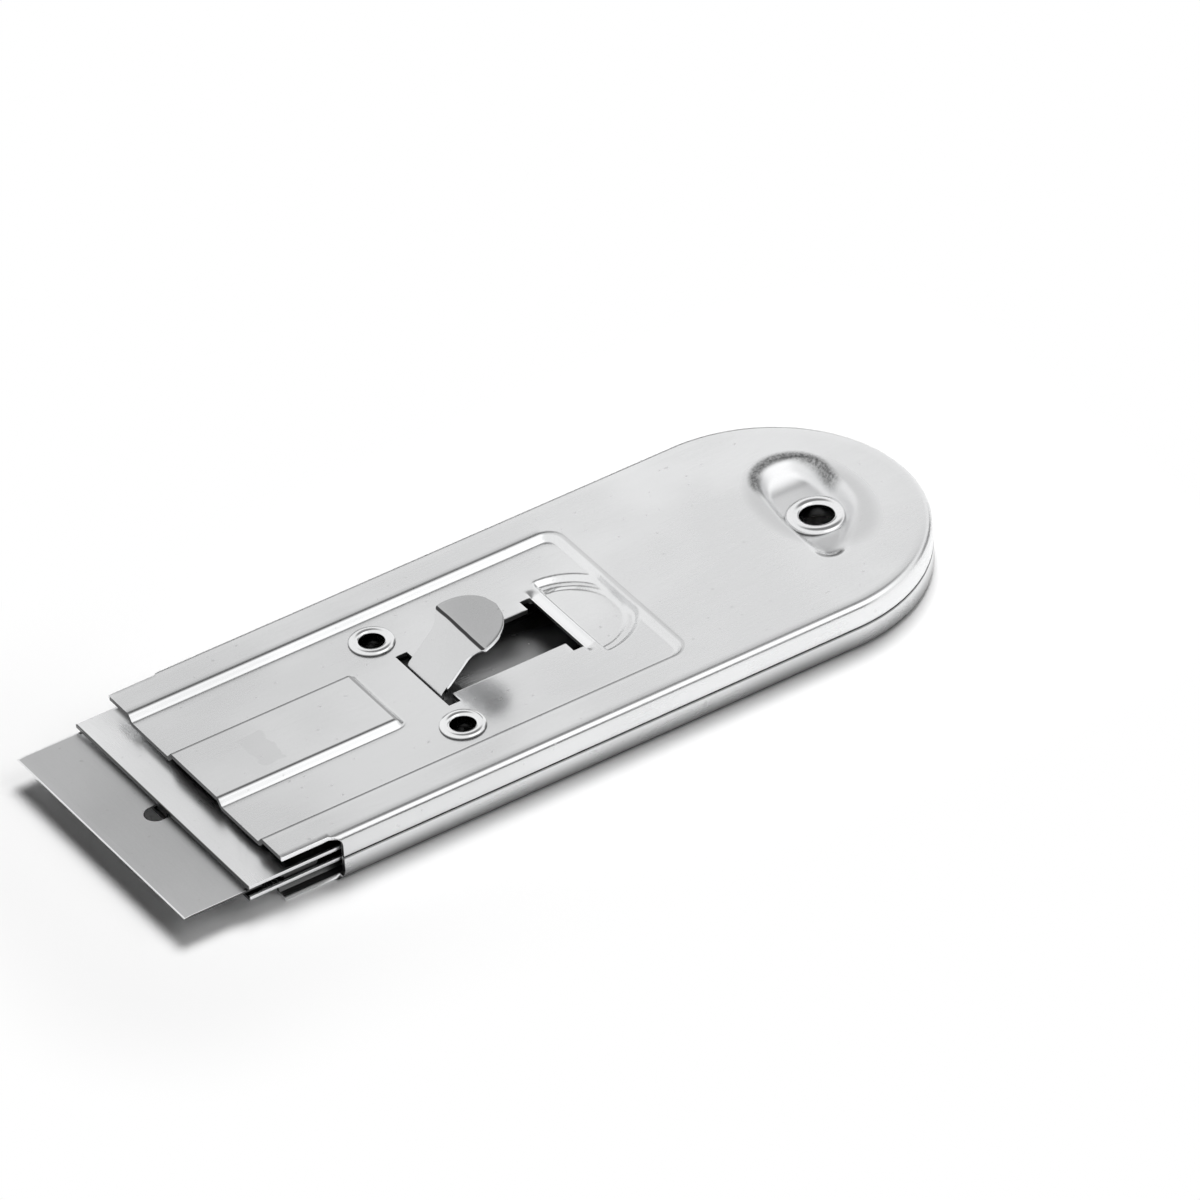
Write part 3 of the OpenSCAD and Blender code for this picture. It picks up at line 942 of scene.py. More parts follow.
@dataclass
class TopShell:
    """Pressed top shell: skirt, bend, panel, channel, window, finger well and dimple.

    Lengths along the tool count from the open front, heights from the plane that it rests on.

    Attributes:
        material: Plating of the faces.
        cut: Finish of the cut edges.
        soft: Share of a pressed wall that each of its bends takes.
        dimple_rounds: Place along, place across and radius of the discs that the dimple joins.
    """

    material: Skin
    cut: Skin
    front: float = -44.1
    rear: float = 57.5
    half: float = 20.5
    height: float = 6.5
    skirt_low: float = 3.4
    sheet: float = 0.6
    edge: float = 0.07
    bend: float = 0.9
    notch_len: float = 7.9
    notch_r: float = 1.5
    soft: float = 0.35
    panel_half: float = 15.2
    panel_end: float = 60.6
    panel_depth: float = 0.9
    panel_run: float = 1.1
    panel_corner: float = 2.4
    channel_half: float = 6.3
    channel_end: float = 26.1
    channel_run: float = 1.1
    channel_corner: float = 1.2
    window_start: float = 32.0
    window_end: float = 51.4
    window_half: float = 4.2
    slot_half: float = 6.0
    slot_len: float = 1.65
    strip_drop: float = 0.3
    strip_run: float = 1.35
    strip_side: float = 1.5
    well_start: float = 53.0
    well_r: float = 8.5
    well_lead: float = 0.15
    well_flat_run: float = 0.7
    well_step: float = 0.8
    well_inner: float = 1.6
    well_inner_run: float = 0.36
    well_soft: float = 0.3
    well_split: float = 0.72
    well_depth: float = 0.9
    dimple_x: float = 88.8
    dimple_depth: float = 2.3
    dimple_reach: float = 12.0
    dimple_run: float = 2.2
    dimple_far: float = 10.9
    dimple_far_run: float = 5.0
    dimple_near: float = 2.5
    dimple_near_run: float = 7.0
    dimple_near_rise: float = 0.72
    dimple_soft: float = 0.5
    dimple_blend: float = 4.0
    dimple_rounds: tuple[Triple, ...] = (
        (89.1, 6.0, 4.6),
        (88.8, 2.6, 4.9),
        (88.3, -0.8, 4.9),
        (86.9, -4.6, 3.6),
        (85.3, -8.0, 2.2),
        (84.9, -8.8, 1.8),
    )
    eyelet_x: float = 31.3
    eyelet_y: float = 10.2
    eyelet_hole: float = 2.2
    hang_hole: float = 2.9
    turns: int = 160
    sharp: float = 60.0

    def panel_share(self, x: float, y: float) -> float:
        """Depth of the panel at a point, as a share of its full depth.

        Args:
            x: Distance from the open front.
            y: Distance from the middle.

        Returns:
            The share.
        """
        corner = self.panel_corner
        dx, dy = x - (self.panel_end - corner), abs(y) - (self.panel_half - corner)
        return ramp(inside_corner(dx, dy, corner) / self.panel_run, self.soft)

    def channel_share(self, x: float, y: float) -> float:
        """Rise of the channel at a point, as a share of its full rise.

        Args:
            x: Distance from the open front.
            y: Distance from the middle.

        Returns:
            The share.
        """
        corner = self.channel_corner
        dx, dy = x - (self.channel_end - corner), abs(y) - (self.channel_half - corner)
        return ramp(inside_corner(dx, dy, corner) / self.channel_run, self.soft)

    def well_share(self, x: float, y: float) -> float:
        """Depth of the finger well at a point, as a share of its full depth.

        Args:
            x: Distance from the open front.
            y: Distance from the middle.

        Returns:
            The share.
        """
        flat = ramp((x - self.well_start + self.well_lead) / self.well_flat_run, self.soft)
        inside = self.well_r - math.hypot(x - self.well_start, y)
        outer = ramp(inside / self.well_step, self.well_soft)
        inner = ramp((inside - self.well_inner) / self.well_inner_run, self.well_soft)
        return flat * (self.well_split * outer + (1.0 - self.well_split) * inner)

    def dimple_share(self, x: float, y: float) -> float:
        """Depth of the skewed oval dimple at a point, as a share of its full depth.

        Args:
            x: Distance from the open front.
            y: Distance from the middle.

        Returns:
            The share.
        """
        if abs(x - self.dimple_x) >= self.dimple_reach:
            return 0.0
        k, steps, limit = self.dimple_blend, 5, 60.0
        total = 0.0
        for (x0, y0, r0), (x1, y1, r1) in zip(self.dimple_rounds, self.dimple_rounds[1:]):
            for t in (i / steps for i in range(steps)):
                off = math.hypot(x - x0 - (x1 - x0) * t, y - y0 - (y1 - y0) * t)
                total += math.exp(min(limit, k * (r0 + (r1 - r0) * t - off)))
        inside = math.log(total + 1e-12) / k
        far = ramp((self.dimple_far - y) / self.dimple_far_run, self.dimple_soft)
        near = smooth_step((-self.dimple_near - y) / self.dimple_near_run)
        near = 1.0 - self.dimple_near_rise * near
        return ramp(inside / self.dimple_run, self.dimple_soft) * far * near

    def strip_share(self, x: float, y: float) -> float:
        """Drop of the narrow strip behind the rear cross slot, as a share of its full drop.

        Args:
            x: Distance from the open front.
            y: Distance from the middle.

        Returns:
            The share.
        """
        beyond = abs(y) - self.slot_half
        if not self.window_end - 0.01 <= x <= self.well_start or beyond > self.strip_side:
            return 0.0
        side = 1.0 - smooth_step(beyond / self.strip_side)
        return side * (1.0 - smooth_step((x - self.window_end) / self.strip_run))

    def surface(self, x: float, y: float) -> float:
        """Height of the face at a point.

        Args:
            x: Distance from the open front.
            y: Distance from the middle.

        Returns:
            Height over the plane that the tool rests on.
        """
        panel = self.panel_share(x, y)
        drop = self.panel_depth * panel * (1.0 - self.channel_share(x, y))
        drop += panel * self.well_depth * self.well_share(x, y)
        drop += self.strip_drop * self.strip_share(x, y)
        drop += self.dimple_depth * self.dimple_share(x, y)
        return self.height - drop

    def is_open(self, x: float, y: float) -> bool:
        """Whether the sheet is cut away at a point of the face.

        Args:
            x: Distance from the open front.
            y: Distance from the middle.

        Returns:
            True where it is open.
        """
        side = abs(y)
        inside_window = self.window_start < x < self.window_end and side < self.window_half
        front_slot = self.window_start < x < self.window_start + self.slot_len
        rear_slot = self.window_end - self.slot_len < x < self.window_end
        inside_slot = (front_slot or rear_slot) and side < self.slot_half
        eyelet = math.hypot(x - self.eyelet_x, side - self.eyelet_y) < self.eyelet_hole
        hang = math.hypot(x - self.dimple_x, side) < self.hang_hole
        return inside_window or inside_slot or eyelet or hang

    def rows(self) -> list[float]:
        """Distances from the middle at which the face has a line of points.

        Returns:
            The distances, in rising order.
        """
        foot, top = self.channel_half, self.channel_half - self.channel_run
        low = self.panel_half - self.panel_run
        inner = spaced([0.0, self.window_half, top], 0.26)[:-1]
        wall = spaced([top, self.slot_half, foot], 0.12)
        near = spaced([foot, 8.6], 0.24)[1:]
        middle = spaced([8.6, self.eyelet_y, 12.6, low], 0.42)[1:-1]
        side = spaced([low, self.panel_half], 0.14)
        outer = spaced([self.panel_half, self.half - self.bend], 0.9)[1:]
        return inner + wall + near + middle + side + outer

    def columns(self) -> list[float]:
        """Distances from the front at which the face has a line of points.

        Returns:
            The distances, in rising order.
        """
        slot_in = self.window_start + self.slot_len
        slot_out = self.window_end - self.slot_len
        # The bare stops are places between the forms, where the spacing may change.
        runs = (
            ([self.notch_len, 24.2], 0.8),
            ([24.2, 24.9, self.channel_end, 28.4, self.eyelet_x, self.window_start], 0.3),
            ([self.window_start, slot_in, 35.0], 0.35),
            ([35.0, slot_out], 0.8),
            ([slot_out, self.window_end, self.well_start, self.panel_end], 0.24),
            ([self.panel_end, 62.0, self.rear - self.front - self.half], 0.5),
        )
        places = spaced([0.0, self.notch_len - self.notch_r], 0.8)[:-1]
        places += [
            self.notch_len - self.notch_r * (1.0 - math.sin(t)) for t in self.notch_angles()
        ]
        for stops, step in runs:
            places += spaced(stops, step)[1:]
        return places

    def notch_angles(self) -> list[float]:
        """Angles round the corner of the cut-away, one for each line of points.

        Returns:
            The angles, in rising order.
        """
        bend_end = math.acos(1.0 - self.bend / self.notch_r)
        even = [math.radians(a) for a in (0, 15, 30, 45, 58, 75, 90)]
        return sorted(even + [bend_end])

    def rim(self) -> list[Pair]:
        """Points of the bend and skirt, as distance from the middle and drop.

        Returns:
            The points, from the face down.
        """
        flat = self.half - self.bend
        points = []
        for angle in self.notch_angles():
            drop = self.notch_r * (1.0 - math.cos(angle))
            turn = math.pi / 2
            if drop < self.bend:
                turn = math.acos(max(0.0, 1.0 - drop / self.bend))
            points.append((flat + self.bend * math.sin(turn), drop))
        low = self.height - self.skirt_low
        return points + [(self.half, d) for d in spaced([self.notch_r, low], 0.6)[1:]]

    def build(self) -> Piece:
        """Make the shell.

        Returns:
            The finished object.
        """
        sheet = SheetMesh()
        rows, columns, rim = self.rows(), self.columns(), self.rim()
        self._face_grid(sheet, rows, columns)
        self._skirts(sheet, columns, rim)
        self._round_end(sheet, rows, rim)
        made = sheet.build("top_shell_sheet")
        face_outwards(made, upwards=True)
        thicken(made, self.sheet, self.edge, (self.material, self.cut))
        settle(made, self.sharp)
        hand_over(made, Carrier.HOUSING, ["top_shell"])
        return made

    def _face_grid(self, sheet: SheetMesh, rows: list[float], columns: list[float]) -> None:
        """Lay the straight part of the face.

        Args:
            sheet: Sheet that takes the faces.
            rows: Distances from the middle with a line of points.
            columns: Distances from the front with a line of points.
        """
        lines = [-r for r in reversed(rows[1:])] + rows
        for x0, x1 in zip(columns, columns[1:]):
            for y0, y1 in zip(lines, lines[1:]):
                if self.is_open((x0 + x1) / 2, (y0 + y1) / 2):
                    continue
                sheet.face(*[
                    sheet.point(x + self.front, y, self.surface(x, y))
                    for x, y in ((x0, y0), (x1, y0), (x1, y1), (x0, y1))
                ])

    def _skirts(self, sheet: SheetMesh, columns: list[float], rim: list[Pair]) -> None:
        """Hang the bend and skirt on both straight sides, behind the cut-away.

        Args:
            sheet: Sheet that takes the faces.
            columns: Distances from the front with a line of points.
            rim: Points of the bend and skirt.
        """
        arc = len(self.notch_angles()) - 1
        columns = columns[columns.index(self.notch_len - self.notch_r):]
        for side in (-1.0, 1.0):
            for i, (x0, x1) in enumerate(zip(columns, columns[1:])):
                for j, ((y0, d0), (y1, d1)) in enumerate(zip(rim, rim[1:])):
                    if i < min(j, arc):
                        continue
                    corners = [
                        sheet.point(x + self.front, side * y, self.height - d)
                        for x, y, d in ((x0, y0, d0), (x1, y0, d0), (x1, y1, d1), (x0, y1, d1))
                    ]
                    on_corner = i == j and j < arc
                    sheet.face(*(corners[:3] if on_corner else corners))

    def _round_end(self, sheet: SheetMesh, rows: list[float], rim: list[Pair]) -> None:
        """Turn the section round the rear end.

        Args:
            sheet: Sheet that takes the faces.
            rows: Distances from the middle with a line of points.
            rim: Points of the bend and skirt.
        """
        centre = self.rear - self.front - self.half
        angles = [math.pi / 2 - math.pi * k / self.turns for k in range(self.turns + 1)]

        def spot(radius: float, turn: float, drop: float | None) -> int:
            """Point of the round end, on the face or on the rim.

            Args:
                radius: Distance from the end's centre.
                turn: Angle round it.
                drop: Drop below the face, or nothing for a point on it.

            Returns:
                Number of the point.
            """
            x, y = centre + radius * math.cos(turn), radius * math.sin(turn)
            if abs(math.cos(turn)) < 1e-9:
                x, y = centre, math.copysign(radius, math.sin(turn))
            z = self.surface(x, y) if drop is None else self.height - drop
            return sheet.point(x + self.front, y, z)

        face = [(r, None) for r in rows]
        for t0, t1 in zip(angles, angles[1:]):
            middle = (t0 + t1) / 2
            for line in (face, rim):
                for (r0, d0), (r1, d1) in zip(line, line[1:]):
                    reach = (r0 + r1) / 2
                    x, y = centre + reach * math.cos(middle), reach * math.sin(middle)
                    if line is face and self.is_open(x, y):
                        continue
                    corners = ((r0, t0, d0), (r1, t0, d1), (r1, t1, d1), (r0, t1, d0))
                    sheet.face(*[spot(*corner) for corner in corners])


@dataclass
class BottomShell:
    """Pressed bottom shell, with its raised floor, posts and cup."""

    material: Skin

    def build(self) -> Piece:
        """Shade a copy of the shell's solid, and hand it over.

        Returns:
            The finished object.
        """
        made = merged_copy("bottom_shell", "bottom_shell_sheet")
        settle(made, FOLDED_SHARP, self.material)
        hand_over(made, Carrier.HOUSING, ["bottom_shell"])
        return made


def revolve(name: str, outline: list[Pair], steps: int) -> Piece:
    """Turn a closed outline round the upright axis through the origin.

    Args:
        name: Name of the new object.
        outline: Points as radius and height in millimetres, in order.
        steps: Number of faces round the axis.

    Returns:
        The new object, with its faces outwards.
    """
    sheet = SheetMesh()
    turns = [2.0 * math.pi * k / steps for k in range(steps)] + [0.0]
    loop = outline + outline[:1]
    for t0, t1 in zip(turns, turns[1:]):
        for (r0, z0), (r1, z1) in zip(loop, loop[1:]):
            sheet.face(*[
                sheet.point(r * math.cos(t), r * math.sin(t), z)
                for r, t, z in ((r0, t0, z0), (r0, t1, z0), (r1, t1, z1), (r1, t0, z1))
            ])
    made = sheet.build(name)
    face_outwards(made)
    return made


class RepeatRow:
    """Geometry Nodes that repeat a mesh along a row."""

    INPUTS = {
        "Geometry": "Geometry", "Count": "Int", "First": "Vector", "Pitch": "Vector",
        "Finish": "Material",
    }

    def __init__(self, name: str) -> None:
        """Build the node tree with its named inputs.

        Args:
            name: Name of the tree.
        """
        self.tree = bpy.data.node_groups.new(name, "GeometryNodeTree")
        face = self.tree.interface
        self.keys = {
            label: face.new_socket(
                label, in_out="INPUT", socket_type=f"NodeSocket{kind}"
            ).identifier
            for label, kind in self.INPUTS.items()
        }
        face.new_socket("Geometry", in_out="OUTPUT", socket_type="NodeSocketGeometry")
        start, line, spread, real, dress, end = (
            self.tree.nodes.new(kind)
            for kind in (
                "NodeGroupInput", "GeometryNodeMeshLine", "GeometryNodeInstanceOnPoints",
                "GeometryNodeRealizeInstances", "GeometryNodeSetMaterial", "NodeGroupOutput",
            )
        )
        line.mode = "OFFSET"
        for source, out, target, into in (
            (start, "Count", line, "Count"),
            (start, "First", line, "Start Location"),
            (start, "Pitch", line, "Offset"),
            (line, "Mesh", spread, "Points"),
            (start, "Geometry", spread, "Instance"),
            (spread, "Instances", real, "Geometry"),
            (real, "Geometry", dress, "Geometry"),
            (start, "Finish", dress, "Material"),
            (dress, "Geometry", end, "Geometry"),
        ):
            self.tree.links.new(source.outputs[out], target.inputs[into])

    def apply(
        self, made: Piece, count: int, first: Triple, pitch: Triple, material: Skin
    ) -> None:
        """Repeat an object's mesh.

        Args:
            made: Object whose mesh stands at the origin.
            count: Number of copies.
            first: Place of the first copy in millimetres.
            pitch: Step from one copy to the next in millimetres.
            material: Finish of all copies.
        """
        row = made.modifiers.new("row", "NODES")
        row.node_group = self.tree
        row[self.keys["Count"]] = count
        row[self.keys["First"]] = [v * MM for v in first]
        row[self.keys["Pitch"]] = [v * MM for v in pitch]
        row[self.keys["Finish"]] = material


@dataclass
class Eyelet:
    """Rolled eyelets: a tube whose mouth flares into a round rolled lip.

    Attributes:
        name: Name of the piece.
        nodes: Nodes that it stands for, one for each copy.
        material: Plating.
        first: Place of the first copy.
        step_y: Step across the tool to the next copy.
        bore: Diameter of the bore.
        rim: Outer diameter of the upper lip.
        low_rim: Outer diameter of the lower lip.
        lip: Height of both lips.
        low: Height at which the lower lip rests.
        high: Height at which the upper lip rests.
        wall: Wall of the tube.
        turns: Number of faces round the axis.
        lip_steps: Number of steps over a lip.
        swell: Power that flattens the top of a lip.
        mouth: Depth at which a lip leaves the bore.
        foot: Height of a lip's outer foot.
        inset: Distance from the foot in to the face that rests on the sheet.
    """

    name: str
    nodes: list[str]
    material: Skin
    first: Pair
    step_y: float
    bore: float
    rim: float
    low_rim: float
    lip: float
    low: float
    high: float
    wall: float = 0.35
    turns: int = 72
    lip_steps: int = 12
    swell: float = 0.8
    mouth: float = 0.25
    foot: float = 0.04
    inset: float = 0.06

    def _lip(self, outer: float, base: float, way: float) -> list[Pair]:
        """Half of the outline, from the bore's wall over the lip to the outer foot.

        Args:
            outer: Outer diameter of the lip.
            base: Height at which it rests.
            way: 1 for a lip that rises, -1 for one that hangs.

        Returns:
            Points as radius and height.
        """
        inner, last = self.bore / 2, self.lip_steps
        width = outer / 2 - inner
        points = [(inner, base - way * self.mouth)]
        for k in range(1, last):
            angle = math.pi - math.pi * k / last
            r = inner + width / 2 + width / 2 * math.cos(angle)
            points.append((r, base + way * (self.lip * math.sin(angle) ** self.swell)))
        return points + [(inner + width, base + way * self.foot)]

    def build(self, rows: RepeatRow) -> Piece:
        """Make the row of eyelets.

        Args:
            rows: Node tree that repeats a mesh.

        Returns:
            The finished object.
        """
        shank = self.bore / 2 + self.wall
        top = self._lip(self.rim, self.high, 1.0)
        under = [(self.rim / 2 - self.inset, self.high), (shank, self.high)]
        low_under = [(shank, self.low), (self.low_rim / 2 - self.inset, self.low)]
        bottom = list(reversed(self._lip(self.low_rim, self.low, -1.0)))
        made = revolve(self.name, top + under + low_under + bottom, self.turns)
        pitch = (0.0, self.step_y, 0.0)
        rows.apply(made, len(self.nodes), (*self.first, 0.0), pitch, self.material)
        settle(made, TURNED_SHARP, self.material)
        hand_over(made, Carrier.HOUSING, self.nodes)
        return made


@dataclass
class Rivets:
    """Round-headed rivets that hold the spring strip on the holder."""

    material: Skin
    place: Pair = (-37.85, -2.5)
    step_y: float = 5.0
    shank: float = 0.75
    head: float = 1.15
    foot: float = 4.0
    seat: float = 5.12
    rise: float = 0.45
    steps: int = 8
    turns: int = 40

    def build(self, rows: RepeatRow) -> Piece:
        """Make the pair of rivets.

        Args:
            rows: Node tree that repeats a mesh.

        Returns:
            The finished object.
        """
        angles = [math.pi / 2 * k / self.steps for k in range(self.steps)]
        dome = [
            (self.head * math.cos(a), self.seat + self.rise * math.sin(a)) for a in angles
        ]
        stem = [(0.0, self.foot), (self.shank, self.foot), (self.shank, self.seat)]
        made = revolve("rivet_pair", [*stem, *dome, (0.0, self.seat + self.rise)], self.turns)
        rows.apply(made, 2, (*self.place, 0.0), (0.0, self.step_y, 0.0), self.material)
        settle(made, TURNED_SHARP, self.material)
        hand_over(made, Carrier.CARRIAGE, ["rivet_near", "rivet_far"])
        return made


@dataclass
class ThumbSpring:
    """Sprung strip with two ears, a ramp through the window and a round thumb pad.

    Lengths along the tool count from the open front of the shells.

    Attributes:
        material: Finish of the faces.
        cut: Finish of the cut edges.
        ear_material: Finish of the ears, near black as painted shade, for they lie in the dark.
        bends: Reach of the bend at each corner of the side view.
    """

    material: Skin
    cut: Skin
    ear_material: Skin
    front: float = -44.1
    start: float = 3.95
    bar: float = 30.0
    bar_len: float = 2.0
    foot: float = 32.1
    top: float = 4.92
    thickness: float = 0.5
    edge: float = 0.05
    step_angle: float = 75.0
    step_rise: float = 0.8
    ramp_angle: float = 44.0
    ramp_len: float = 7.6
    pad_angle: float = 13.0
    pad_r: float = 5.4
    strip_half: float = 4.4
    ramp_half: float = 3.8
    straight_rise: float = 3.6
    flare_power: float = 1.7
    ear_half: float = 5.75
    ear_end: float = 33.55
    ear_lap: float = 0.4
    ear_inner: float = 0.2
    ear_gap: float = 0.01
    hole_r: float = 0.81
    step: float = 0.4
    bends: tuple[float, ...] = (0.0, 0.3, 0.55, 0.5, 0.0)

    def path(self) -> list[Pair]:
        """Upper face of the strip seen from the side.

        Returns:
            Points as distance from the front and height.
        """
        corners = self._corners()
        points = [corners[0]]
        for i in range(1, len(corners) - 1):
            points += self._rounded(corners[i - 1], corners[i], corners[i + 1], self.bends[i])
        points.append(corners[-1])
        filled = [points[0]]
        for p, q in zip(points, points[1:]):
            count = max(1, math.ceil(math.dist(p, q) / self.step))
            filled += [
                (p[0] + (q[0] - p[0]) * k / count, p[1] + (q[1] - p[1]) * k / count)
                for k in range(1, count + 1)
            ]
        return filled

    def _corners(self) -> list[Pair]:
        """Corners of the side view before the bends are rounded.

        Returns:
            Points as distance from the front and height.
        """
        step_x = self.foot + self.step_rise / math.tan(math.radians(self.step_angle))
        step_z = self.top + self.step_rise
        a, b = math.radians(self.ramp_angle), math.radians(self.pad_angle)
        crease = (step_x + self.ramp_len * math.cos(a), step_z + self.ramp_len * math.sin(a))
        end = (crease[0] + self.pad_r * math.cos(b), crease[1] + self.pad_r * math.sin(b))
        return [(self.start, self.top), (self.foot, self.top), (step_x, step_z), crease, end]

    @staticmethod
    def _rounded(before: Pair, corner: Pair, after: Pair, r: float) -> list[Pair]:
        """Round one corner of the side view with a short curve.

        Args:
            before: Corner before it.
            corner: The corner.
            after: Corner after it.
            r: Reach of the bend along each side.

        Returns:
            Points of the curve.
        """
        ends = []
        for other in (before, after):
            length = math.dist(corner, other)
            reach = min(r, length / 2.2) / length
            ends.append([corner[i] + (other[i] - corner[i]) * reach for i in (0, 1)])
        return [
            tuple(
                (1 - t) ** 2 * ends[0][i] + 2 * t * (1 - t) * corner[i] + t * t * ends[1][i]
                for i in (0, 1)
            )
            for t in (k / 5 for k in range(6))
        ]

    def half_width(self, x: float) -> float:
        """Half of the strip's width at a distance from the front.

        Args:
            x: Distance from the open front.

        Returns:
            Half of the width.
        """
        corners = self._corners()
        crease = corners[3][0]
        flare = corners[2][0] + self.straight_rise / math.tan(math.radians(self.ramp_angle))
        if x <= self.bar:
            return self.strip_half
        if x <= flare:
            return self.ramp_half
        if x <= crease:
            t = (x - flare) / (crease - flare)
            return self.ramp_half + (self.pad_r - self.ramp_half) * t ** self.flare_power
        reach = (x - crease) / (corners[4][0] - crease)
        return self.pad_r * math.sqrt(max(0.0, 1.0 - reach * reach))

    def _drill(self, made: Piece, rows: RepeatRow) -> Piece:
        """Cut the two rivet holes into the strip, and hand back the cutter.

        Args:
            made: The strip.
            rows: Node tree that repeats a mesh.

        Returns:
            The cutter, which goes once the strip is settled.
        """
        low, high = self.top - 2.0 * self.thickness, self.top + self.thickness
        outline = [(0.0, low), (self.hole_r, low), (self.hole_r, high), (0.0, high)]
        drill = revolve("rivet_holes", outline, Rivets.turns)
        rows.apply(drill, 2, (*Rivets.place, 0.0), (0.0, Rivets.step_y, 0.0), self.cut)
        holes = made.modifiers.new("holes", "BOOLEAN")
        holes.object = drill
        holes.operation = "DIFFERENCE"
        holes.solver = "EXACT"
        return drill

    def build(self, rows: RepeatRow) -> Piece:
        """Make the strip.

        Args:
            rows: Node tree that repeats a mesh.

        Returns:
            The finished object.
        """
        sheet = SheetMesh()
        line = self.path()
        shares = [k / 10 for k in range(-10, 11)]
        for (x0, z0), (x1, z1) in zip(line, line[1:]):
            w0, w1 = self.half_width(x0), self.half_width(x1)
            for s0, s1 in zip(shares, shares[1:]):
                sheet.face(*[
                    sheet.point(x + self.front, y, z)
                    for x, y, z in (
                        (x0, w0 * s0, z0), (x1, w1 * s0, z1), (x1, w1 * s1, z1), (x0, w0 * s1, z0)
                    )
                ])
        made = sheet.build("thumb_spring_strip")
        thicken(made, self.thickness, self.edge, (self.material, self.cut))
        drill = self._drill(made, rows)
        settle(made, FOLDED_SHARP)
        bpy.data.objects.remove(drill)
        hand_over(made, Carrier.THUMB, ["thumb_spring"])
        self._ears()
        return made

    def _ears(self) -> Piece:
        """Make the bar with its two ears, a sheet of its own beside the strip.

        Returns:
            The finished object.
        """
        sheet = SheetMesh()
        xs = [self.bar, self.bar + self.bar_len, self.ear_end]
        ys = [self.ramp_half - self.ear_lap, self.ramp_half + self.ear_inner, self.ear_half]
        for side in (-1.0, 1.0):
            for i, j in ((0, 0), (0, 1), (1, 1)):
                ids = [
                    sheet.point(x + self.front, side * y, self.top - self.ear_gap)
                    for x, y in (
                        (xs[i], ys[j]), (xs[i + 1], ys[j]),
                        (xs[i + 1], ys[j + 1]), (xs[i], ys[j + 1]),
                    )
                ]
                sheet.face(*(ids if side > 0 else reversed(ids)))
        made = sheet.build("thumb_spring_ears")
        thicken(made, self.thickness - 2.0 * self.ear_gap, self.edge)
        settle(made, FOLDED_SHARP, self.ear_material)
        hand_over(made, Carrier.THUMB, [])
        return made


@dataclass
class Carriage:
    """Blade holder with the blade and its spine."""

    holder_material: Skin
    blade_material: Skin
    spine_material: Skin
    edge: float = 0.05

    def build(self) -> None:
        """Dress the three folded and ground pieces of the carriage."""
        for node, name, material, slot, edge_mm in (
            ("blade_holder", "blade_holder_sheet", self.holder_material, "holder_steel", self.edge),
            ("razor_blade", "razor_blade_strip", self.blade_material, "blade_steel", 0.0),
            ("blade_spine", "blade_spine_fold", self.spine_material, "holder_steel", self.edge),
        ):
            made = merged_copy(node, name)
            if edge_mm > 0.0:
                break_edges(made, edge_mm)
            settle(made, FOLDED_SHARP, material)
            hand_over(made, Carrier.CARRIAGE, [node])


# ---------------------------------------------------------------- studio

@dataclass(frozen=True)
class Lamp:
    """Soft rectangular lamp: place and size in millimetres, power in watts."""

    name: str
    place: Triple
    size: Pair
    power: float


@dataclass(frozen=True)
class Card:
    """Card round the tool that draws lines in the metal's bends, or lights its walls.

    Attributes:
        way: Direction from the tool to the card.
        full: Angle from that direction up to which the card is full, in degrees.
        end: Angle at which it ends, in degrees.
        dark: Share of the light that it takes, or adds where it is negative.
    """

    way: Triple
    full: float
    end: float
    dark: float


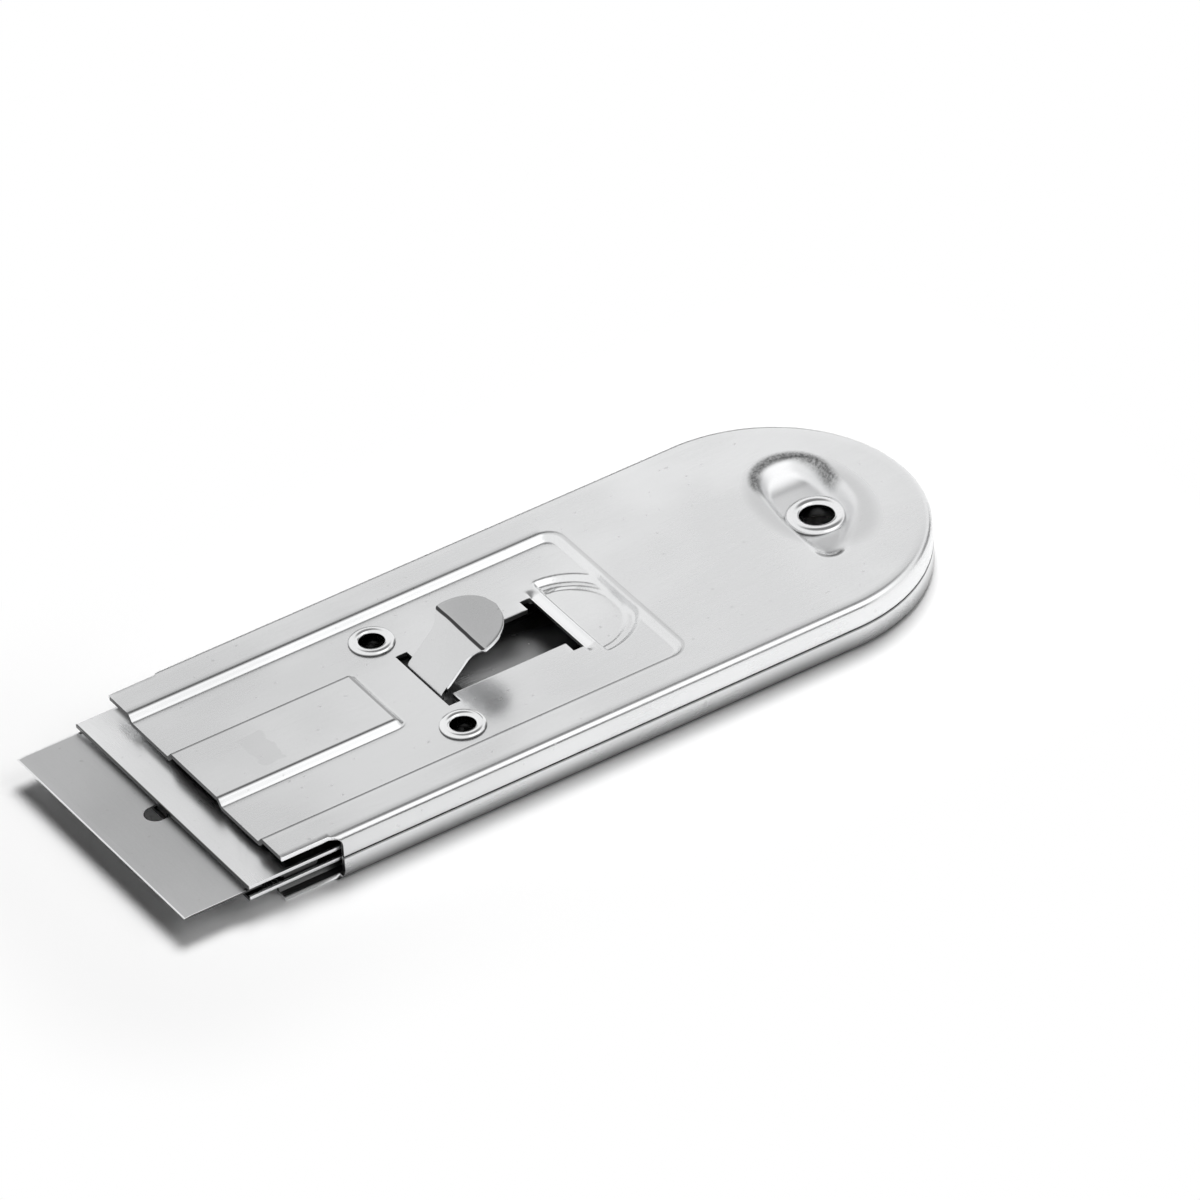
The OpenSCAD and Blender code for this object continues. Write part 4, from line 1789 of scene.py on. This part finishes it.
@dataclass
class Studio:
    """Pale floor, plain soft lamps and the camera.

    Attributes:
        target: Point of the tool that the camera turns round, in millimetres.
        azimuth: Turn of the camera about the upright axis, in degrees.
        elevation: Height of the camera over the floor, in degrees.
        roll: Turn of the picture, in degrees.
        scale: Pixels to the millimetre at the target.
        nearness: One over the camera's distance in millimetres.
        centre: Place of the target in the picture, in pixels.
        frame_px: Side of the picture, in pixels.
        sky: Strength of the even light.
        box: Half of the tool's length and width, in millimetres.
        shadow: Distances from the tool between which the lit floor fades to plain white.
    """

    target: Triple = (0.9, 0.0, 3.0)
    azimuth: float = -30.05
    elevation: float = 37.38
    roll: float = -4.5
    scale: float = 8.33
    nearness: float = 0.00064
    centre: Pair = (514.7, 658.24)
    frame_px: float = 1200.0
    sky: float = 0.1
    box: Pair = (57.5, 20.5)
    shadow: Pair = (9.0, 30.0)
    floor_half: float = 3.0
    lamps: tuple[Lamp, ...] = (
        Lamp("overhead", (300.0, 240.0, 800.0), (460.0, 460.0), 7.8),
        Lamp("near_side", (199.0, -265.0, 374.0), (420.0, 400.0), 0.69),
    )
    cards: tuple[Card, ...] = (
        Card((0.398, -0.53, 0.748), 20.0, 27.0, -0.48),
        Card((0.33, 0.30, 0.895), 14.0, 24.0, 0.75),
        Card((0.40, -0.90, 0.20), 9.0, 16.0, 0.9),
        Card((0.40, 0.91, 0.12), 9.0, 16.0, 0.85),
        Card((0.97, 0.10, 0.14), 10.0, 20.0, 0.8),
    )

    def build(self) -> None:
        """Set the floor, lamps, world, colours and camera."""
        self._floor()
        for lamp in self.lamps:
            self._lamp(lamp)
        self._world()
        self._camera()
        bpy.context.scene.view_settings.view_transform = "Standard"

    def _floor(self) -> None:
        """Lay a white floor that keeps the shadow, and is plain white farther off to the camera."""
        skin, net = new_material("white_floor")
        at = Place(net)
        away = squares(
            (at.x.size() - self.box[0]).at_least(0.0), (at.side - self.box[1]).at_least(0.0)
        ).root().eased(*self.shadow)
        camera = net.node("ShaderNodeLightPath", out="Is Camera Ray")
        lit = net.node("ShaderNodeBsdfDiffuse", None, {"Color": (0.94, 0.94, 0.94, 1.0)})
        white = {"Color": (1.0, 1.0, 1.0, 1.0), "Strength": 1.0}
        plain = net.node("ShaderNodeEmission", None, white)
        shown = net.node("ShaderNodeMixShader", None, {0: away * camera, 1: lit, 2: plain})
        net.close("ShaderNodeOutputMaterial", shown)
        mesh = bpy.data.meshes.new("floor")
        far = self.floor_half
        corners = [(-far, -far, 0), (far, -far, 0), (far, far, 0), (-far, far, 0)]
        mesh.from_pydata(corners, [], [(0, 1, 2, 3)])
        mesh.materials.append(skin)
        new_object("floor", mesh)

    @staticmethod
    def _lamp(lamp: Lamp) -> None:
        """Hang one soft lamp that faces the tool; the metal shows the world's cards instead.

        Args:
            lamp: Place, size and power.
        """
        data = bpy.data.lights.new(lamp.name, "AREA")
        data.shape = "RECTANGLE"
        data.size, data.size_y = lamp.size[0] * MM, lamp.size[1] * MM
        data.energy = lamp.power
        made = new_object(lamp.name, data)
        made.location = Vector(lamp.place) * MM
        made.rotation_euler = (-made.location).to_track_quat("-Z", "Y").to_euler()
        made.visible_glossy = False

    def _world(self) -> None:
        """Light the scene evenly, and show the camera white and the metal white with cards."""
        world = bpy.data.worlds.new("studio")
        bpy.context.scene.world = world
        world.use_nodes = True
        net = Net(world.node_tree)
        way = net.node("ShaderNodeTexCoord", out="Generated")
        shown: Sock | float = 1.0
        for card in self.cards:
            pair = {0: way, 1: Vector(card.way).normalized()}
            close = net.node("ShaderNodeVectorMath", {"operation": "DOT_PRODUCT"}, pair, "Value")
            end, full = (math.cos(math.radians(angle)) for angle in (card.end, card.full))
            shown = (1.0 - close.eased(end, full) * card.dark) * shown
        even, metal, white = (
            net.node("ShaderNodeBackground", None, values)
            for values in (
                {"Strength": self.sky},
                {"Color": (1.0, 1.0, 1.0, 1.0), "Strength": shown},
                {"Color": (1.0, 1.0, 1.0, 1.0), "Strength": 1.0},
            )
        )
        seen = even
        for ray, light in (("Is Glossy Ray", metal), ("Is Camera Ray", white)):
            asked = net.node("ShaderNodeLightPath", out=ray)
            seen = net.node("ShaderNodeMixShader", None, {0: asked, 1: seen, 2: light})
        net.close("ShaderNodeOutputWorld", seen)

    def _camera(self) -> None:
        """Place the camera at the viewing angle of the photograph."""
        a, e, r = (math.radians(v) for v in (self.azimuth, self.elevation, self.roll))
        right = Vector((math.cos(a), math.sin(a), 0.0))
        back = Vector((math.sin(a) * math.cos(e), -math.cos(a) * math.cos(e), math.sin(e)))
        up = back.cross(right)
        level_right = math.cos(r) * right + math.sin(r) * up
        level_up = -math.sin(r) * right + math.cos(r) * up
        place = (Vector(self.target) + back / self.nearness) * MM
        focal_px = self.scale / self.nearness
        half = self.frame_px / 2
        sight = -back + level_right * ((half - self.centre[0]) / focal_px)
        sight += level_up * ((self.centre[1] - half) / focal_px)
        new_back = -sight.normalized()
        new_right = (level_right - new_back * level_right.dot(new_back)).normalized()
        turn = Matrix((new_right, new_back.cross(new_right), new_back)).transposed()
        data = bpy.data.cameras.new("camera")
        data.sensor_width = 36.0
        data.lens = focal_px / self.frame_px * data.sensor_width
        data.clip_start, data.clip_end = 0.05, 20.0
        camera = new_object("camera", data)
        camera.matrix_world = Matrix.Translation(place) @ turn.to_4x4()
        bpy.context.scene.camera = camera


def write_sizes() -> None:
    """Update the view layer."""
    bpy.context.view_layer.update()


def build_eyelets(rows: RepeatRow) -> None:
    """Make the two body eyelets and the hang eyelet.

    Args:
        rows: Node tree that repeats a mesh.
    """
    front, across = TopShell.front, TopShell.eyelet_y
    bright = (0.86, 0.78, 0.12, Grain.EVEN, 0.03, 0.1)
    body_x, hang_x = front + TopShell.eyelet_x, front + TopShell.dimple_x
    body = EyeletFinish("body_eyelet_plating", *bright, (body_x, across), 1.55, 2.9, 5.6)
    hang = EyeletFinish("hang_eyelet_plating", *bright, (hang_x, 0.0), 2.1, 3.95, 4.2)
    Eyelet(
        "body_eyelet_pair", ["body_eyelet_near", "body_eyelet_far"], body.build(),
        (body_x, -across), 2.0 * across,
        bore=3.1, rim=5.8, low_rim=4.9, lip=0.5, low=4.38, high=5.6,
    ).build(rows)
    Eyelet(
        "hang_eyelet_ring", ["hang_eyelet"], hang.build(), (hang_x, 0.0), 0.0,
        bore=4.2, rim=7.9, low_rim=7.9, lip=0.62, low=2.98, high=4.2,
    ).build(rows)


def main() -> None:
    """Build the sub-assemblies in order and report each piece."""
    logging.basicConfig(level=logging.INFO, format="%(name)s %(message)s")
    Studio().build()
    shell = ShellFinish("plated_shell", 0.85, 0.78, 0.23, Grain.ALONG, 0.013).build()
    # The shell's cut edges are near black as painted shade.
    cut = ShadedEdgeFinish("shaded_cut_edge", 0.16, 0.10, 0.45, Grain.EVEN).build()
    under = InsideFinish("plated_underside", 0.78, 0.70, 0.25, Grain.ALONG, 0.025).build()
    plated = SteelFinish("bright_rivet", 0.86, 0.78, 0.12, Grain.EVEN, 0.03, 0.1).build()
    holder = FoldFinish("holder_sheet", 0.80, 0.72, 0.25, Grain.ACROSS, 0.025).build()
    spine = SpineFinish("spine_fold", 0.60, 0.50, 0.30, Grain.ACROSS).build()
    blade = BladeFinish("blade_steel", 0.58, 0.52, 0.38, Grain.ACROSS, 0.1, 0.6).build()
    spring = CreaseFinish("spring_strip", 0.68, 0.60, 0.24, Grain.ALONG, 0.04).build()
    # The ears' near black finish is painted shade.
    ear_shade = SteelFinish("shaded_ear", 0.06, 0.04, 0.5, Grain.EVEN).build()
    rows = RepeatRow("row_of_pieces")
    TopShell(shell, cut).build()
    BottomShell(under).build()
    build_eyelets(rows)
    Carriage(holder, blade, spine).build()
    Rivets(plated).build(rows)
    ThumbSpring(spring, plated, ear_shade).build(rows)
    write_sizes()


if __name__ == "__main__":
    main()
